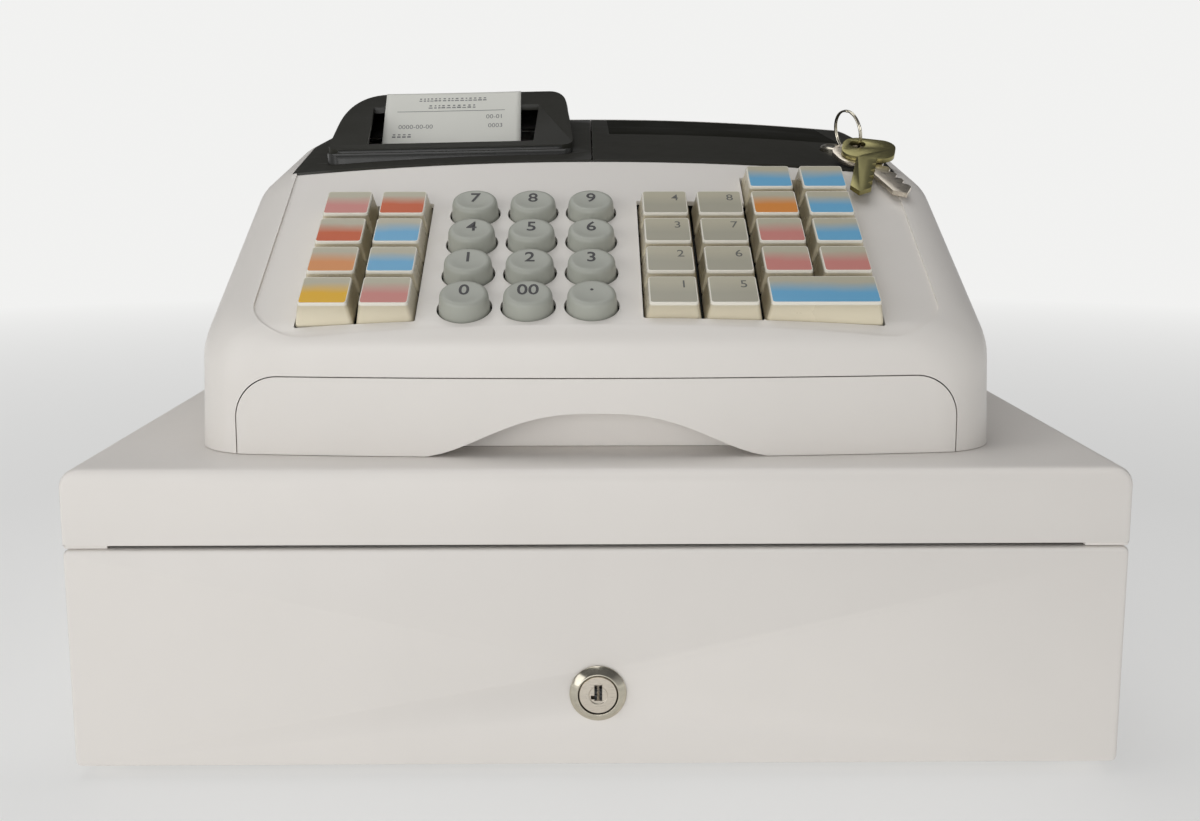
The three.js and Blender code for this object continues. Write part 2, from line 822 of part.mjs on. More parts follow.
function stationsBetween(front, rear, corner, frontFold, rearFold) {
  const shares = [0, 0.08, 0.3, 0.62, 1];
  const foldShares = [0.2, 0.6, 1];
  const stations = [
    ...shares.map((share) => front + share * corner),
    ...foldShares.map((share) => front + share * frontFold),
    (front + corner + bandFrontY) / 2,
    bandFrontY, crestY, (crestY + summitY) / 2, summitY,
    ...foldShares.map((share) => rear - share * rearFold),
    ...shares.map((share) => rear - share * corner),
  ].sort((a, b) => a - b);
  return stations.filter((y, i) => i === 0 || y - stations[i - 1] > seatGap);
}

// The head's whole body, drawn in by an inset on every side. Sections across X
// follow one another from front to rear.
function headBody(inset, bottom) {
  const front = headFront + inset;
  const rear = headRear - inset;
  const corner = planCorner - inset;
  const fold = foldRadius - inset / 2;
  const rearFold = rearRadius - inset;
  const shoulder = shoulderRadius - inset;
  const arcSteps = 5;
  const topSteps = 6;
  const rings = stationsBetween(front, rear, corner, fold, rearFold).map((y) => {
    const drawIn = Math.max(cornerDrawIn(y - front, corner), cornerDrawIn(rear - y, corner));
    const drop = cornerDrawIn(y - front, fold) + cornerDrawIn(rear - y, rearFold);
    const sideAt = (z) => headHalfWidth - inset - headLean * z - drawIn;
    const topAt = (x, station) => {
      const [height, slope] = middleLine(station);
      return height - inset / Math.cos(slope) - x ** 2 / (2 * crownRadius) - drop;
    };
    const roughTop = topAt(sideAt(0) - shoulder, y);
    const centreX = sideAt(roughTop - shoulder) - shoulder;
    const centreZ = topAt(centreX, y + bowAt(centreX, y)) - shoulder;
    const half = [[sideAt(bottom), bottom]];
    for (let step = 0; step <= arcSteps; step += 1) {
      const angle = rightAngle * (step / arcSteps);
      half.push([
        centreX + shoulder * Math.cos(angle), centreZ + shoulder * Math.sin(angle),
      ]);
    }
    const top = [];
    for (let step = 1; step < topSteps; step += 1) {
      const x = centreX * (1 - 2 * step / topSteps);
      top.push([x, topAt(x, y + bowAt(x, y))]);
    }
    const mirrored = half.map(([x, z]) => [-x, z]).reverse();
    return [...half, ...top, ...mirrored].map(
      ([x, z]) => new THREE.Vector3(x, y + bowAt(x, y), z),
    );
  });
  return skinOver(rings, ["x", "z"]);
}

const outerBody = headBody(0, seatGap);
const hollowBody = headBody(headWall, -overrun);
const aboveHead = hoodTop + 2 * shoulderRadius;

// Places a solid built on the key deck: X across, Y up the slope, Z outwards.
const deckPlacing = new THREE.Matrix4()
  .makeRotationX(deckSlope)
  .setPosition(0, headFront, foldHeight);

function onDeck(solid) {
  return solid.transform(deckPlacing.toArray());
}

// The key deck lies a little below its surround.
const deckOutline = roundedRectangle(
  -deckHalfWidth, deckHalfWidth, deckFrontLip, deckLength + overrun,
  [deckCorner, deckCorner, 0, 0],
);
const deckRecess = onDeck(raised(deckOutline, -shoulderRadius, shoulderRadius))
  .subtract(headBody(deckSink, 0));

// Key wells
const blockHalf = (squarePitch + squareBase) / 2 + keyPlay;

function wellFor(centreX, rows) {
  const start = squareFirstRow - squareFront - keyPlay;
  const end = squareFirstRow + (rows - 1) * squarePitch + squareRear + keyPlay;
  return block(
    centreX - blockHalf, centreX + blockHalf, start, end, -shoulderRadius, shoulderRadius,
  );
}

const roundColumns = [-1, 0, 1].map((step) => roundMiddleX + step * roundPitch);
const roundRows = [0, 1, 2, 3].map((step) => roundFirstRow + step * roundPitch);
const roundWells = roundRows.flatMap((s) =>
  roundColumns.map((x) => post(x, s, roundHoleRadius, -shoulderRadius, shoulderRadius, 20)),
);
const keyWells = onDeck(joined([
  wellFor(leftBlockX, squareRows),
  wellFor(departmentBlockX, squareRows),
  wellFor(functionBlockX, functionRows),
  ...roundWells,
]));

// The black band's outline in plan, grown or shrunk by a margin.
const bandRear = bandFrontY + bandDepth;
const modeLockX = functionBlockX + modeLockBesideKeys;
const bandHalfFront = modeLockX + bandBesideLock;

function bandOutline(margin, left = -bandHalfRear - bandHalfFront, right = -left) {
  const frontX = bandHalfFront + margin;
  const rearX = bandHalfRear + margin;
  const front = bandFrontY - margin;
  const rear = bandRear + margin;
  const outline = raised(shapeOf([
    [-frontX, front], [frontX, front], [rearX, rear - bandCorner],
    [rearX - bandCorner, rear], [-rearX + bandCorner, rear], [-rearX, rear - bandCorner],
  ]), foldHeight, aboveHead);
  return outline.intersect(block(left, right, 0, cabinetDepth, 0, aboveHead + overrun));
}

const bandSeat = headBody(bandThickness + seatGap, 0);
const bandFloor = headBody(bandThickness + seatGap + ledgeThickness, 0);

// The skirt's outline in the front view, drawn in by a margin.
function skirtOutline(margin) {
  const half = skirtHalfWidth - margin;
  const corner = skirtCorner - margin;
  return roundedRectangle(
    -half, half, -overrun, skirtHeight - margin, [0, 0, corner, corner],
  );
}

// The arch that opens the skirt for the fingers: a low crown that runs out
// into the lower edge in a reverse curve.
function archOutline(margin) {
  const half = archHalfSpan + margin;
  const height = archHeight + margin;
  const flareShares = [[0.9, 0.1], [0.75, 0.45], [0.59, 0.71], [0.44, 0.87], [0.21, 0.99]];
  const right = flareShares.map(([across, up]) => [half * across, height * up]);
  const left = right.map(([x, z]) => [-x, z]).reverse();
  return shapeOf([
    [-half, 0], [-half, -overrun], [half, -overrun], [half, 0],
    ...right, [0, height], ...left,
  ]);
}

const skirtDepth = headFront + recessDepth;

function upperHousingSolid() {
  const shell = outerBody.subtract(hollowBody);
  const ledge = bandOutline(ledgeReach).subtract(bandOutline(-ledgeReach))
    .intersect(headBody(headWall / 2, 0)).subtract(bandFloor);
  const bandRecess = bandOutline(seatGap).subtract(bandSeat);
  const skirtOpening = runBack(skirtOutline(-seatGap), 0, skirtDepth);
  return shell.subtract(deckRecess)
    .add(ledge)
    .subtract(bandRecess)
    .subtract(bandOutline(-ledgeReach))
    .subtract(keyWells)
    .subtract(skirtOpening);
}

place(head, "upper_housing", upperHousingSolid(), finishes.housing);

function frontSkirtSolid() {
  const shell = outerBody.subtract(hollowBody);
  return shell.intersect(runBack(skirtOutline(seatGap / 2), 0, skirtDepth))
    .subtract(runBack(archOutline(0), 0, skirtDepth));
}

place(head, "front_skirt", frontSkirtSolid(), finishes.housing);

// Black band, left half: the printer cover with its hood. Built in the head's
// frame and hinged along its rear edge.
const coverRight = bandSplit - seatGap;
const bezelLeft = bandSplit + seatGap;
const coverSkin = outerBody.subtract(headBody(bandThickness, 0));

// The hood's front view: upright sides and rounded shoulders, the left one wide.
function hoodFrontView(margin) {
  const left = hoodCentre - hoodLeftReach + margin;
  const right = hoodCentre + hoodRightReach - margin;
  const top = hoodTop - margin;
  const shape = new THREE.Shape();
  shape.moveTo(left, hoodFoot);
  shape.lineTo(right, hoodFoot);
  shape.lineTo(right, bandFrontZ + hoodTopRightDrop);
  shape.lineTo(right - hoodRightLean, top - hoodTopRightDrop);
  shape.quadraticCurveTo(
    right - hoodRightLean, top, right - hoodRightLean - hoodTopRightReach, top,
  );
  shape.lineTo(left + hoodTopLeftReach, top);
  shape.quadraticCurveTo(left, top, left, top - hoodTopLeftDrop);
  shape.lineTo(left, hoodFoot);
  return shape;
}

// The hood's side view: a sloping face, a round crest and a rear fall.
const hoodWallFront = hoodLip + hoodLipDepth;
const faceStart = hoodWallFront + hoodFaceRound;
const faceRise = (hoodTop - hoodFaceHeight) / (hoodCrest - faceStart);

function hoodSideView(margin) {
  const front = hoodWallFront + margin;
  const rear = hoodRear - margin;
  const top = hoodTop - margin;
  const faceZ = hoodFaceHeight - margin;
  const crestFront = hoodCrest - hoodCrestRound;
  const shape = new THREE.Shape();
  shape.moveTo(front, hoodFoot);
  shape.lineTo(front, faceZ - hoodFaceRound);
  shape.quadraticCurveTo(front, faceZ, faceStart + margin, faceZ + margin * faceRise);
  shape.lineTo(crestFront, top - hoodCrestRound * faceRise);
  shape.quadraticCurveTo(hoodCrest, top, hoodCrest + hoodCrestRound, top);
  shape.quadraticCurveTo(rear, top, rear, top - hoodRearDrop);
  shape.lineTo(rear, hoodFoot);
  return shape;
}

// The rolled lip along the hood's front.
function hoodLipView() {
  const shape = new THREE.Shape();
  shape.moveTo(hoodLip, hoodFoot);
  shape.lineTo(hoodLip, hoodLipHeight - hoodLipRound);
  shape.quadraticCurveTo(
    hoodLip, hoodLipHeight, hoodLip + hoodLipRound, hoodLipHeight,
  );
  shape.lineTo(hoodWallFront + hoodWall / 2, hoodLipHeight);
  shape.lineTo(hoodWallFront + hoodWall / 2, hoodFoot);
  return shape;
}

function hoodPlan(margin, front) {
  const corner = hoodPlanCorner - margin;
  return raised(roundedRectangle(
    hoodCentre - hoodLeftReach + margin, hoodCentre + hoodRightReach - margin,
    front + margin, hoodRear - margin, [corner, corner, corner, corner],
  ), hoodFoot, aboveHead);
}

// Leans a solid with the crowned band, about the middle of the hood's top.
function tilted(solid) {
  return solid.translate([-hoodCentre, 0, -hoodTop])
    .rotate([0, -hoodTilt, 0])
    .translate([hoodCentre, 0, hoodTop]);
}

function hoodSolid(margin) {
  const left = hoodCentre - hoodLeftReach - overrun;
  const right = hoodCentre + hoodRightReach + overrun;
  const frontView = runBack(hoodFrontView(margin), hoodLip, hoodRear + overrun, 6);
  const sideView = runAcross(hoodSideView(margin), left, right, 5);
  return tilted(frontView.intersect(sideView).intersect(hoodPlan(margin, hoodWallFront)));
}

function hoodLipSolid() {
  const left = hoodCentre - hoodLeftReach - overrun;
  const right = hoodCentre + hoodRightReach + overrun;
  return tilted(runAcross(hoodLipView(), left, right, 5).intersect(hoodPlan(0, hoodLip)));
}

// The mouth is a little wider at the rear than in front.
const mouthOutline = shapeOf([
  [hoodCentre - mouthLeftReach, mouthFront],
  [hoodCentre + mouthRightReach, mouthFront],
  [hoodCentre + mouthRightReach + mouthRightFlare, mouthRear],
  [hoodCentre - mouthLeftReach - mouthLeftFlare, mouthRear],
]);

function printerCoverSolid() {
  const panel = coverSkin.intersect(bandOutline(0, -bandHalfRear - overrun, coverRight));
  const outer = hoodSolid(0).add(hoodLipSolid());
  const hood = outer.subtract(headBody(bandThickness * hoodRootShare, 0));
  return mainBody(panel.add(hood)
    .subtract(hoodSolid(hoodWall))
    .subtract(raised(mouthOutline, hoodLipHeight, aboveHead)));
}

place(head, "printer_cover", printerCoverSolid(), finishes.blackPlastic);

// Black band, right half: the bezel round the amount window, with the hole for
// the mode lock.
const modeLockY = bandFrontY + modeLockBehindBand;
const bandNormal = new THREE.Vector3(
  modeLockX / crownRadius, -Math.tan(bandSlope), 1,
).normalize();
const modeLockZ = bandFrontZ + (modeLockY - bandFrontY) * Math.tan(bandSlope)
  - modeLockX ** 2 / (2 * crownRadius);
const modeFrame = new THREE.Object3D();
modeFrame.position.set(modeLockX, modeLockY, modeLockZ);
modeFrame.quaternion.setFromUnitVectors(new THREE.Vector3(0, 0, 1), bandNormal);
modeFrame.updateMatrix();

function onModeLock(solid) {
  return solid.transform(modeFrame.matrix.toArray());
}

function displayBezelSolid() {
  const panel = coverSkin.intersect(bandOutline(0, bezelLeft, bandHalfRear + overrun));
  const windowX = bandSplit + windowStart;
  const windowY = bandFrontY + windowSetback;
  const windowCut = block(
    windowX, windowX + windowWidth, windowY, windowY + windowDepth, foldHeight, aboveHead,
  ).subtract(headBody(windowSink, 0));
  const boss = onModeLock(post(
    0, 0, modeRimRadius + headWall, -modeLockDepth + modePlay, -bandThickness / 2, 20,
  ));
  const bore = onModeLock(post(
    0, 0, modeRimRadius + modePlay, -modeLockDepth - overrun, modeLockDepth, 24,
  ));
  return panel.subtract(windowCut).add(boss).subtract(bore);
}

place(head, "display_bezel", displayBezelSolid(), finishes.blackPlastic);

// Lower case: the head's floor, the wall of the finger recess and the posts
// that carry the key board.
const innerLimit = headBody(headWall + seatGap, 0);
const floorTop = seatGap + lowerSheet;
const recessWallY = headFront + recessDepth;
const recessX = archHalfSpan + lowerSheet;
const recessTop = archHeight + recessHeadroom;
const boardDrop = keyRoot + keyTravel + capStopGap; // key board below the deck
const boardUnderside = -(boardDrop + boardThickness);

function lowerCaseSolid() {
  const floor = block(-headHalfWidth, headHalfWidth, 0, headRear, seatGap, floorTop);
  const recessBox = block(
    -recessX - lowerSheet, recessX + lowerSheet, 0, recessWallY + lowerSheet,
    seatGap, recessTop + lowerSheet,
  );
  const recess = block(-recessX, recessX, -overrun, recessWallY, -overrun, recessTop);
  const posts = [];
  for (const x of [-boardPostX, boardPostX]) {
    for (const y of [boardPostFront, boardPostRear]) {
      posts.push(post(x, y, boardPostRadius, floorTop - seatGap, bandFrontZ, 12));
    }
  }
  const aboveBoard = onDeck(block(
    -headHalfWidth, headHalfWidth, -deckLength, 2 * deckLength,
    boardUnderside - seatGap, 2 * deckLength,
  ));
  return joined([floor, recessBox, joined(posts).subtract(aboveBoard)])
    .subtract(recess)
    .intersect(innerLimit);
}

place(head, "lower_case", lowerCaseSolid(), finishes.housing);

// Key board: the plate that guides the stems of all keys.
const deck = new THREE.Group();
deck.position.set(0, headFront, foldHeight);
deck.rotation.set(deckSlope, 0, 0);
head.add(deck);

const squareKeys = [];
for (const [group, centreX, rows] of [
  ["left", leftBlockX, squareRows],
  ["department", departmentBlockX, squareRows],
  ["function", functionBlockX, functionRows],
]) {
  for (let row = 0; row < rows; row += 1) {
    for (const side of [-1, 1]) {
      squareKeys.push({
        group,
        row,
        side,
        x: centreX + side * squarePitch / 2,
        s: squareFirstRow + row * squarePitch,
      });
    }
  }
}
// The lowest row of the function block is one key of double width.
const wideKey = { x: functionBlockX, s: squareFirstRow };
const singleKeys = squareKeys.filter(({ group, row }) => group !== "function" || row > 0);
const digitNames = [
  ["0", "00", "point"], ["1", "2", "3"], ["4", "5", "6"], ["7", "8", "9"],
];
const roundKeys = roundRows.flatMap((s, row) =>
  roundColumns.map((x, column) => ({ x, s, name: digitNames[row][column] })),
);

function keyBoardSolid() {
  const plate = block(
    -boardHalfWidth, boardHalfWidth, boardStart, deckLength - boardEndMargin,
    boardUnderside, -boardDrop,
  );
  const hole = stemSize / 2 + stemPlay;
  const holes = [...singleKeys, wideKey, ...roundKeys].map(({ x, s }) => block(
    x - hole, x + hole, s - hole, s + hole, boardUnderside - overrun, -boardDrop + overrun,
  ));
  return plate.subtract(joined(holes));
}

place(deck, "key_board", keyBoardSolid(), finishes.boardPlastic);

// Keys, each in its own frame: the origin lies on the deck under the cap.
const stemLow = boardUnderside - stemThrough;

function stemSolid() {
  const half = stemSize / 2;
  return block(-half, half, -half, half, stemLow, 0);
}

// A square cap: the front face is nearly upright, the others lean.
function squareCapSolid(extraWidth = 0) {
  const corner = squareCorner;
  const ringAt = (halfX, front, rear, z) => [
    [-halfX + corner, -front], [halfX - corner, -front],
    [halfX, -front + corner], [halfX, rear - corner],
    [halfX - corner, rear], [-halfX + corner, rear],
    [-halfX, rear - corner], [-halfX, -front + corner],
  ].map(([x, y]) => new THREE.Vector3(x, y, z));
  const baseX = (squareBase + extraWidth) / 2;
  const topX = (squareTop + extraWidth) / 2;
  const halfTop = squareTopDepth / 2;
  const edge = squareEdge;
  return skinOver([
    ringAt(baseX, squareFront, squareRear, -keyRoot),
    ringAt(topX, halfTop, halfTop, keyLift - edge),
    ringAt(topX - edge, halfTop - edge, halfTop - edge, keyLift),
  ], ["x", "y"]);
}

// A round cap with a rounded rim and a shallow dish.
function roundCapSolid() {
  const rimStart = roundTopRadius - roundEdge;
  const profile = [
    [0, -keyRoot],
    [roundBaseRadius, -keyRoot],
    [roundTopRadius, keyLift - roundEdge],
    [roundTopRadius - roundEdge * roundEdgeShare, keyLift - roundEdge * roundEdgeShare],
    [rimStart, keyLift],
    [rimStart * dishReachShare, keyLift - roundDish * dishDepthShare],
    [0, keyLift - roundDish],
  ].map(([radius, height]) => new THREE.Vector2(radius, height));
  const geometry = new THREE.LatheGeometry(profile, 20);
  geometry.rotateX(rightAngle);
  return solidOf(geometry);
}

const stem = stemSolid();
const squareKey = squareCapSolid().add(stem);
const doubleKey = squareCapSolid(squarePitch).add(stem);
const roundKey = roundCapSolid().add(stem);

for (const { group, row, side, x, s } of singleKeys) {
  const column = side < 0 ? "a" : "b";
  place(deck, `key_${group}_${column}${row + 1}`, squareKey, finishes.creamKey, [x, s, 0]);
}
place(deck, "key_function_wide", doubleKey, finishes.creamKey, [wideKey.x, wideKey.s, 0]);
for (const { x, s, name } of roundKeys) {
  place(deck, `key_number_${name}`, roundKey, finishes.roundKey, [x, s, 0]);
}

// Printer frame: two cheeks that stand on the floor, the print head block, the
// guide behind the paper's way and the open seats for the roll's spindle.
const printerRear = printerFront + printerDepth;
const printerBase = floorTop + seatGap;
const rollY = printerFront + rollSetback;
const rollZ = printerFloor + rollLift;
const cheekTop = printerFloor + cheekHeight;
const rollCheekTop = rollZ + cheekNotchRise;
const headBlockRear = printerFront + headBlockDepth;
const guideFront = headBlockRear + paperWay;

function printUnitSolid() {
  const side = shapeOf([
    [printerFront, printerBase], [printerRear, printerBase],
    [printerRear, rollCheekTop], [rollY - rollCore, rollCheekTop],
    [guideFront + guideDepth, cheekTop], [printerFront, cheekTop],
  ]);
  const inner = cheekGap / 2;
  const left = runAcross(side, hoodCentre - inner - cheekThickness, hoodCentre - inner);
  const right = runAcross(side, hoodCentre + inner, hoodCentre + inner + cheekThickness);
  const reach = inner + cheekThickness / 2;
  const across = (y0, y1, z0, z1) => block(
    hoodCentre - reach, hoodCentre + reach, y0, y1, z0, z1,
  );
  const headBlock = across(
    printerFront, headBlockRear, printerFloor, cheekTop + headBlockRise,
  );
  const tearBar = across(
    headBlockRear - tearBarDepth, headBlockRear,
    cheekTop, cheekTop + headBlockRise + tearBarRise,
  );
  const bed = across(
    printerFront, printerRear - cheekThickness, printerFloor, printerFloor + cheekThickness,
  );
  const guide = across(
    guideFront, guideFront + guideDepth, cheekTop - guideHeight, cheekTop,
  );
  const seat = spindleRadius + spindlePlay;
  const notch = block(
    hoodCentre - 2 * inner, hoodCentre + 2 * inner, rollY - seat, rollY + seat,
    rollZ, cheekTop + overrun,
  );
  const seatRound = bar(
    hoodCentre - 2 * inner, hoodCentre + 2 * inner, rollY, rollZ, seat, 20,
  );
  return joined([left, right, headBlock, tearBar, bed, guide])
    .subtract(notch)
    .subtract(seatRound);
}

place(head, "print_unit", printUnitSolid(), finishes.boardPlastic);

// Paper roll on its spindle, in its own frame: the axis lies on X.
function paperRollSolid() {
  const half = paperWidth / 2;
  const roll = bar(-half, half, 0, 0, rollRadius, 36);
  const reach = cheekGap / 2 + spindleReach;
  return roll.add(bar(-reach, reach, 0, 0, spindleRadius, 16));
}

place(
  head, "paper_roll", paperRollSolid(), finishes.paper, [hoodCentre, rollY, rollZ],
);

// The receipt: a strip that comes up through the mouth and leans on its rear
// edge.
const mouthRearZ = hoodFaceHeight + (mouthRear - faceStart) * faceRise;
const hoodLean = new THREE.Group();
hoodLean.position.set(hoodCentre, 0, hoodTop);
hoodLean.rotation.set(0, -THREE.MathUtils.degToRad(hoodTilt), 0);
head.add(hoodLean);

function receiptSolid() {
  const half = paperWidth / 2;
  return block(
    -half, half, receiptAbove - receiptLength, receiptAbove,
    seatGap, seatGap + paperThickness,
  );
}

place(
  hoodLean, "receipt_paper", receiptSolid(), finishes.paper,
  [receiptShift, mouthRear, mouthRearZ - hoodTop], [receiptTilt, 0, 0],
);

// Mode lock: the barrel's face turns as one piece with the key slot.
function modeLockSolid() {
  const chamfer = modeLockProud / 2;
  const profile = [
    [0, modeLockProud - chamfer / 2],
    [modeRimRadius - 2 * chamfer, modeLockProud - chamfer / 2],
    [modeRimRadius - chamfer - chamfer / 2, modeLockProud],
    [modeRimRadius, modeLockProud - chamfer],
    [modeRimRadius, -modeLockDepth],
    [0, -modeLockDepth],
  ].map(([radius, height]) => new THREE.Vector2(radius, height)).reverse();
  const geometry = new THREE.LatheGeometry(profile, 24);
  geometry.rotateX(rightAngle);
  return solidOf(geometry).subtract(block(
    -modeSlotWidth / 2, modeSlotWidth / 2, -modeSlotLength / 2, modeSlotLength / 2,
    -modeLockDepth / 2, modeLockProud + overrun,
  ));
}

const modeLock = place(head, "mode_lock", modeLockSolid(), finishes.chrome);
modeLock.position.copy(modeFrame.position);
modeLock.quaternion.copy(modeFrame.quaternion);

// A flat key with its hole at the origin. The hole is at the bow's rear edge, in
// the middle or at the left.
function flatKeySolid(holeAtLeft) {
  const holeX = holeAtLeft ? -bowWidth / 2 + bowHoleInset : 0;
  const holeY = bowDepth / 2 - bowHoleInset;
  const half = flatKeyThickness / 2;
  const bow = raised(roundedRectangle(
    -bowWidth / 2, bowWidth / 2, -bowDepth / 2, bowDepth / 2,
    [bowCorner, bowCorner, bowCorner, bowCorner],
  ), -half, half, 4);
  const shoulder = -bowDepth / 2;
  const tip = shoulder - bladeLength;
  const edge = bladeWidth / 2;
  const bitePitch = bladeLength / (bladeBites + bladePlainPitches);
  const outline = [[-edge, shoulder + edge], [-edge, tip + edge], [0, tip], [edge, tip + edge]];
  for (let bite = bladeBites; bite > 0; bite -= 1) {
    const y = shoulder - bite * bitePitch;
    outline.push([edge, y - bitePitch / 3], [edge - bladeBite, y], [edge, y + bitePitch / 3]);
  }
  outline.push([edge, shoulder + edge]);
  const blade = raised(shapeOf(outline), -half, half);
  return bow.add(blade)
    .subtract(post(holeX, holeY, bowHoleRadius, -flatKeyThickness, flatKeyThickness, 16))
    .translate([-holeX, -holeY, 0]);
}

// The lower key clears the crest between the deck and the band.
const keyHoleX = modeLockX + keyHoleBesideLock;
const keyHoleS = deckLength + keyHoleBeyondDeck;
const crestUnderKeys = -((modeLockX ** 2) / (2 * crownRadius)) * Math.cos(deckSlope);
const silverLevel = crestUnderKeys + 2 * seatGap + flatKeyThickness / 2;
const brassLevel = silverLevel + flatKeyThickness + seatGap;
const stackMiddle = (silverLevel + brassLevel) / 2;

place(
  deck, "silver_key", flatKeySolid(false), finishes.satinMetal,
  [keyHoleX, keyHoleS, silverLevel], [0, 0, silverTurn],
);
place(
  deck, "brass_key", flatKeySolid(true), finishes.brass,
  [keyHoleX, keyHoleS, brassLevel], [0, 0, brassTurn],
);

// The ring stands on edge through both holes. Its origin is where its wire
// crosses the keys.
function keyRingSolid() {
  const geometry = new THREE.TorusGeometry(ringRadius, ringWire, 6, 24);
  geometry.rotateX(rightAngle);
  geometry.translate(Math.sqrt(ringRadius ** 2 - ringLift ** 2), 0, ringLift);
  return solidOf(geometry);
}

place(
  deck, "key_ring", keyRingSolid(), finishes.chrome,
  [keyHoleX, keyHoleS, stackMiddle], [0, 0, ringTurn],
);

export default register;
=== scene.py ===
# The finish of the ticket register: materials, rounded edges, key caps with
# their labels, figures and the printed receipt. Metres, the part's own frame.
import math
import random

import bmesh
import bpy
from mathutils import Matrix, Vector


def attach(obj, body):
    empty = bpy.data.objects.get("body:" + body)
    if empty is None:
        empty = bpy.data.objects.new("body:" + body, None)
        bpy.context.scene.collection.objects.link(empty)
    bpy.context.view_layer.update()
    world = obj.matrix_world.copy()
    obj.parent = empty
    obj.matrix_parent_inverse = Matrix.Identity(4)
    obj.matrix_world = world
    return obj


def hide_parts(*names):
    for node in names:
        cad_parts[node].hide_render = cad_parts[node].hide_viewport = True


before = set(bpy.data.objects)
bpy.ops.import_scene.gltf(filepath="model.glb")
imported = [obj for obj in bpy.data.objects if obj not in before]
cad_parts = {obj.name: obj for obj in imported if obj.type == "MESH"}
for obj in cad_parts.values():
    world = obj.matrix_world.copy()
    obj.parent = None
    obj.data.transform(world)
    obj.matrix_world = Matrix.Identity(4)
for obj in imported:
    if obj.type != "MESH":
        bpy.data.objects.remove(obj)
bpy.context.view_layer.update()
MM = 0.001


def add_object(name, data):
    piece = bpy.data.objects.new(name, data)
    bpy.context.scene.collection.objects.link(piece)
    return piece


# Camera, matched to the photograph's view
PHOTO_WIDTH = 1200
FOCAL_PIXELS = 1475.8
CAMERA_PLACE = (-3.9 * MM, -623.3 * MM, 192.9 * MM)
CAMERA_TURN = (math.radians(80.48), math.radians(0.05), math.radians(-0.60))
SENSOR_WIDTH, CLIP_START = 36, 0.01


def add_camera():
    data = bpy.data.cameras.new("camera")
    data.sensor_width = SENSOR_WIDTH
    data.lens = FOCAL_PIXELS / PHOTO_WIDTH * SENSOR_WIDTH
    data.clip_start = CLIP_START
    camera = add_object("camera", data)
    camera.location = CAMERA_PLACE
    camera.rotation_euler = CAMERA_TURN
    bpy.context.scene.camera = camera


add_camera()


# Node helpers
def add_node(tree, kind):
    return tree.nodes.new("ShaderNode" + kind)


def link(output, entry):
    output.id_data.links.new(output, entry)


def put(node, values):
    """Sets a node's inputs by their names."""
    for name, value in values.items():
        node.inputs[name].default_value = value


def spread(tree, value, low, high, new_low, new_high):
    """Maps one range of a value on another, and holds it at the ends."""
    node = add_node(tree, "MapRange")
    put(node, {"From Min": low, "From Max": high, "To Min": new_low, "To Max": new_high})
    link(value, node.inputs["Value"])
    return node.outputs["Result"]


def combine(tree, operation, first, second):
    node = add_node(tree, "Math")
    node.operation = operation
    link(first, node.inputs[0])
    link(second, node.inputs[1])
    return node.outputs[0]


def blend(tree, share, first, second, out):
    """Shows the first shader where the share is 0 and the second where it is 1."""
    mix = add_node(tree, "MixShader")
    link(share, mix.inputs[0])
    link(first.outputs[0], mix.inputs[1])
    link(second.outputs[0], mix.inputs[2])
    link(mix.outputs[0], out.inputs["Surface"])


# Light and surroundings. A lamp has a place, a target, a width, a height and a power.
LAMPS = [
    ("front_lamp", (-0.45, -1.9, 0.30), (0, 0, 0.12), 1.3, 0.7, 9),
    ("side_lamp", (-1.4, -0.9, 0.6), (0, 0, 0.12), 0.9, 0.9, 4),
    ("ceiling_lamp", (-0.2, 0.1, 1.5), (0, 0, 0.1), 1.4, 1.2, 8),
]
FILL_COLOR = (0.98, 0.98, 1.0, 1)
BACKDROP_COLOR, BACKDROP_GLOW = (0.93, 0.93, 0.92, 1), 0.95
# A range of a direction's part along Y or Z, and the shares at the ends of that range
FILL_FROM_FRONT = (-0.9, 0.6, 0.62, 0.20)
FILL_FROM_ABOVE = (0.2, 0.55, 1, 0.3)
WHITE_HORIZON = (0.02, 0.12, 1, 0)


def add_lamp(name, place, target, width, height, power):
    data = bpy.data.lights.new(name, "AREA")
    data.shape = "RECTANGLE"
    data.size = width
    data.size_y = height
    data.energy = power
    lamp = add_object(name, data)
    lamp.location = place
    aim = Vector(target) - Vector(place)
    lamp.rotation_euler = aim.to_track_quat("-Z", "Y").to_euler()


def light_the_room():
    """A white backdrop, a fill that comes mostly from the front, and soft lamps."""
    for lamp in LAMPS:
        add_lamp(*lamp)
    world = bpy.data.worlds.new("room")
    bpy.context.scene.world = world
    world.use_nodes = True
    tree = world.node_tree
    tree.nodes.clear()
    direction = add_node(tree, "SeparateXYZ")
    link(add_node(tree, "TexCoord").outputs["Generated"], direction.inputs[0])
    path = add_node(tree, "LightPath")
    low = spread(tree, direction.outputs["Z"], *WHITE_HORIZON)
    shiny = combine(tree, "MULTIPLY", path.outputs["Is Glossy Ray"], low)
    clear = combine(tree, "MAXIMUM", path.outputs["Is Camera Ray"],
                    path.outputs["Is Transmission Ray"])
    seen = combine(tree, "MAXIMUM", clear, shiny)
    fill = add_node(tree, "Background")
    put(fill, {"Color": FILL_COLOR})
    facing = spread(tree, direction.outputs["Y"], *FILL_FROM_FRONT)
    overhead = spread(tree, direction.outputs["Z"], *FILL_FROM_ABOVE)
    link(combine(tree, "MULTIPLY", facing, overhead), fill.inputs["Strength"])
    backdrop = add_node(tree, "Background")
    put(backdrop, {"Color": BACKDROP_COLOR, "Strength": BACKDROP_GLOW})
    blend(tree, seen, fill, backdrop, add_node(tree, "OutputWorld"))
    bpy.context.scene.view_settings.view_transform = "Standard"


light_the_room()


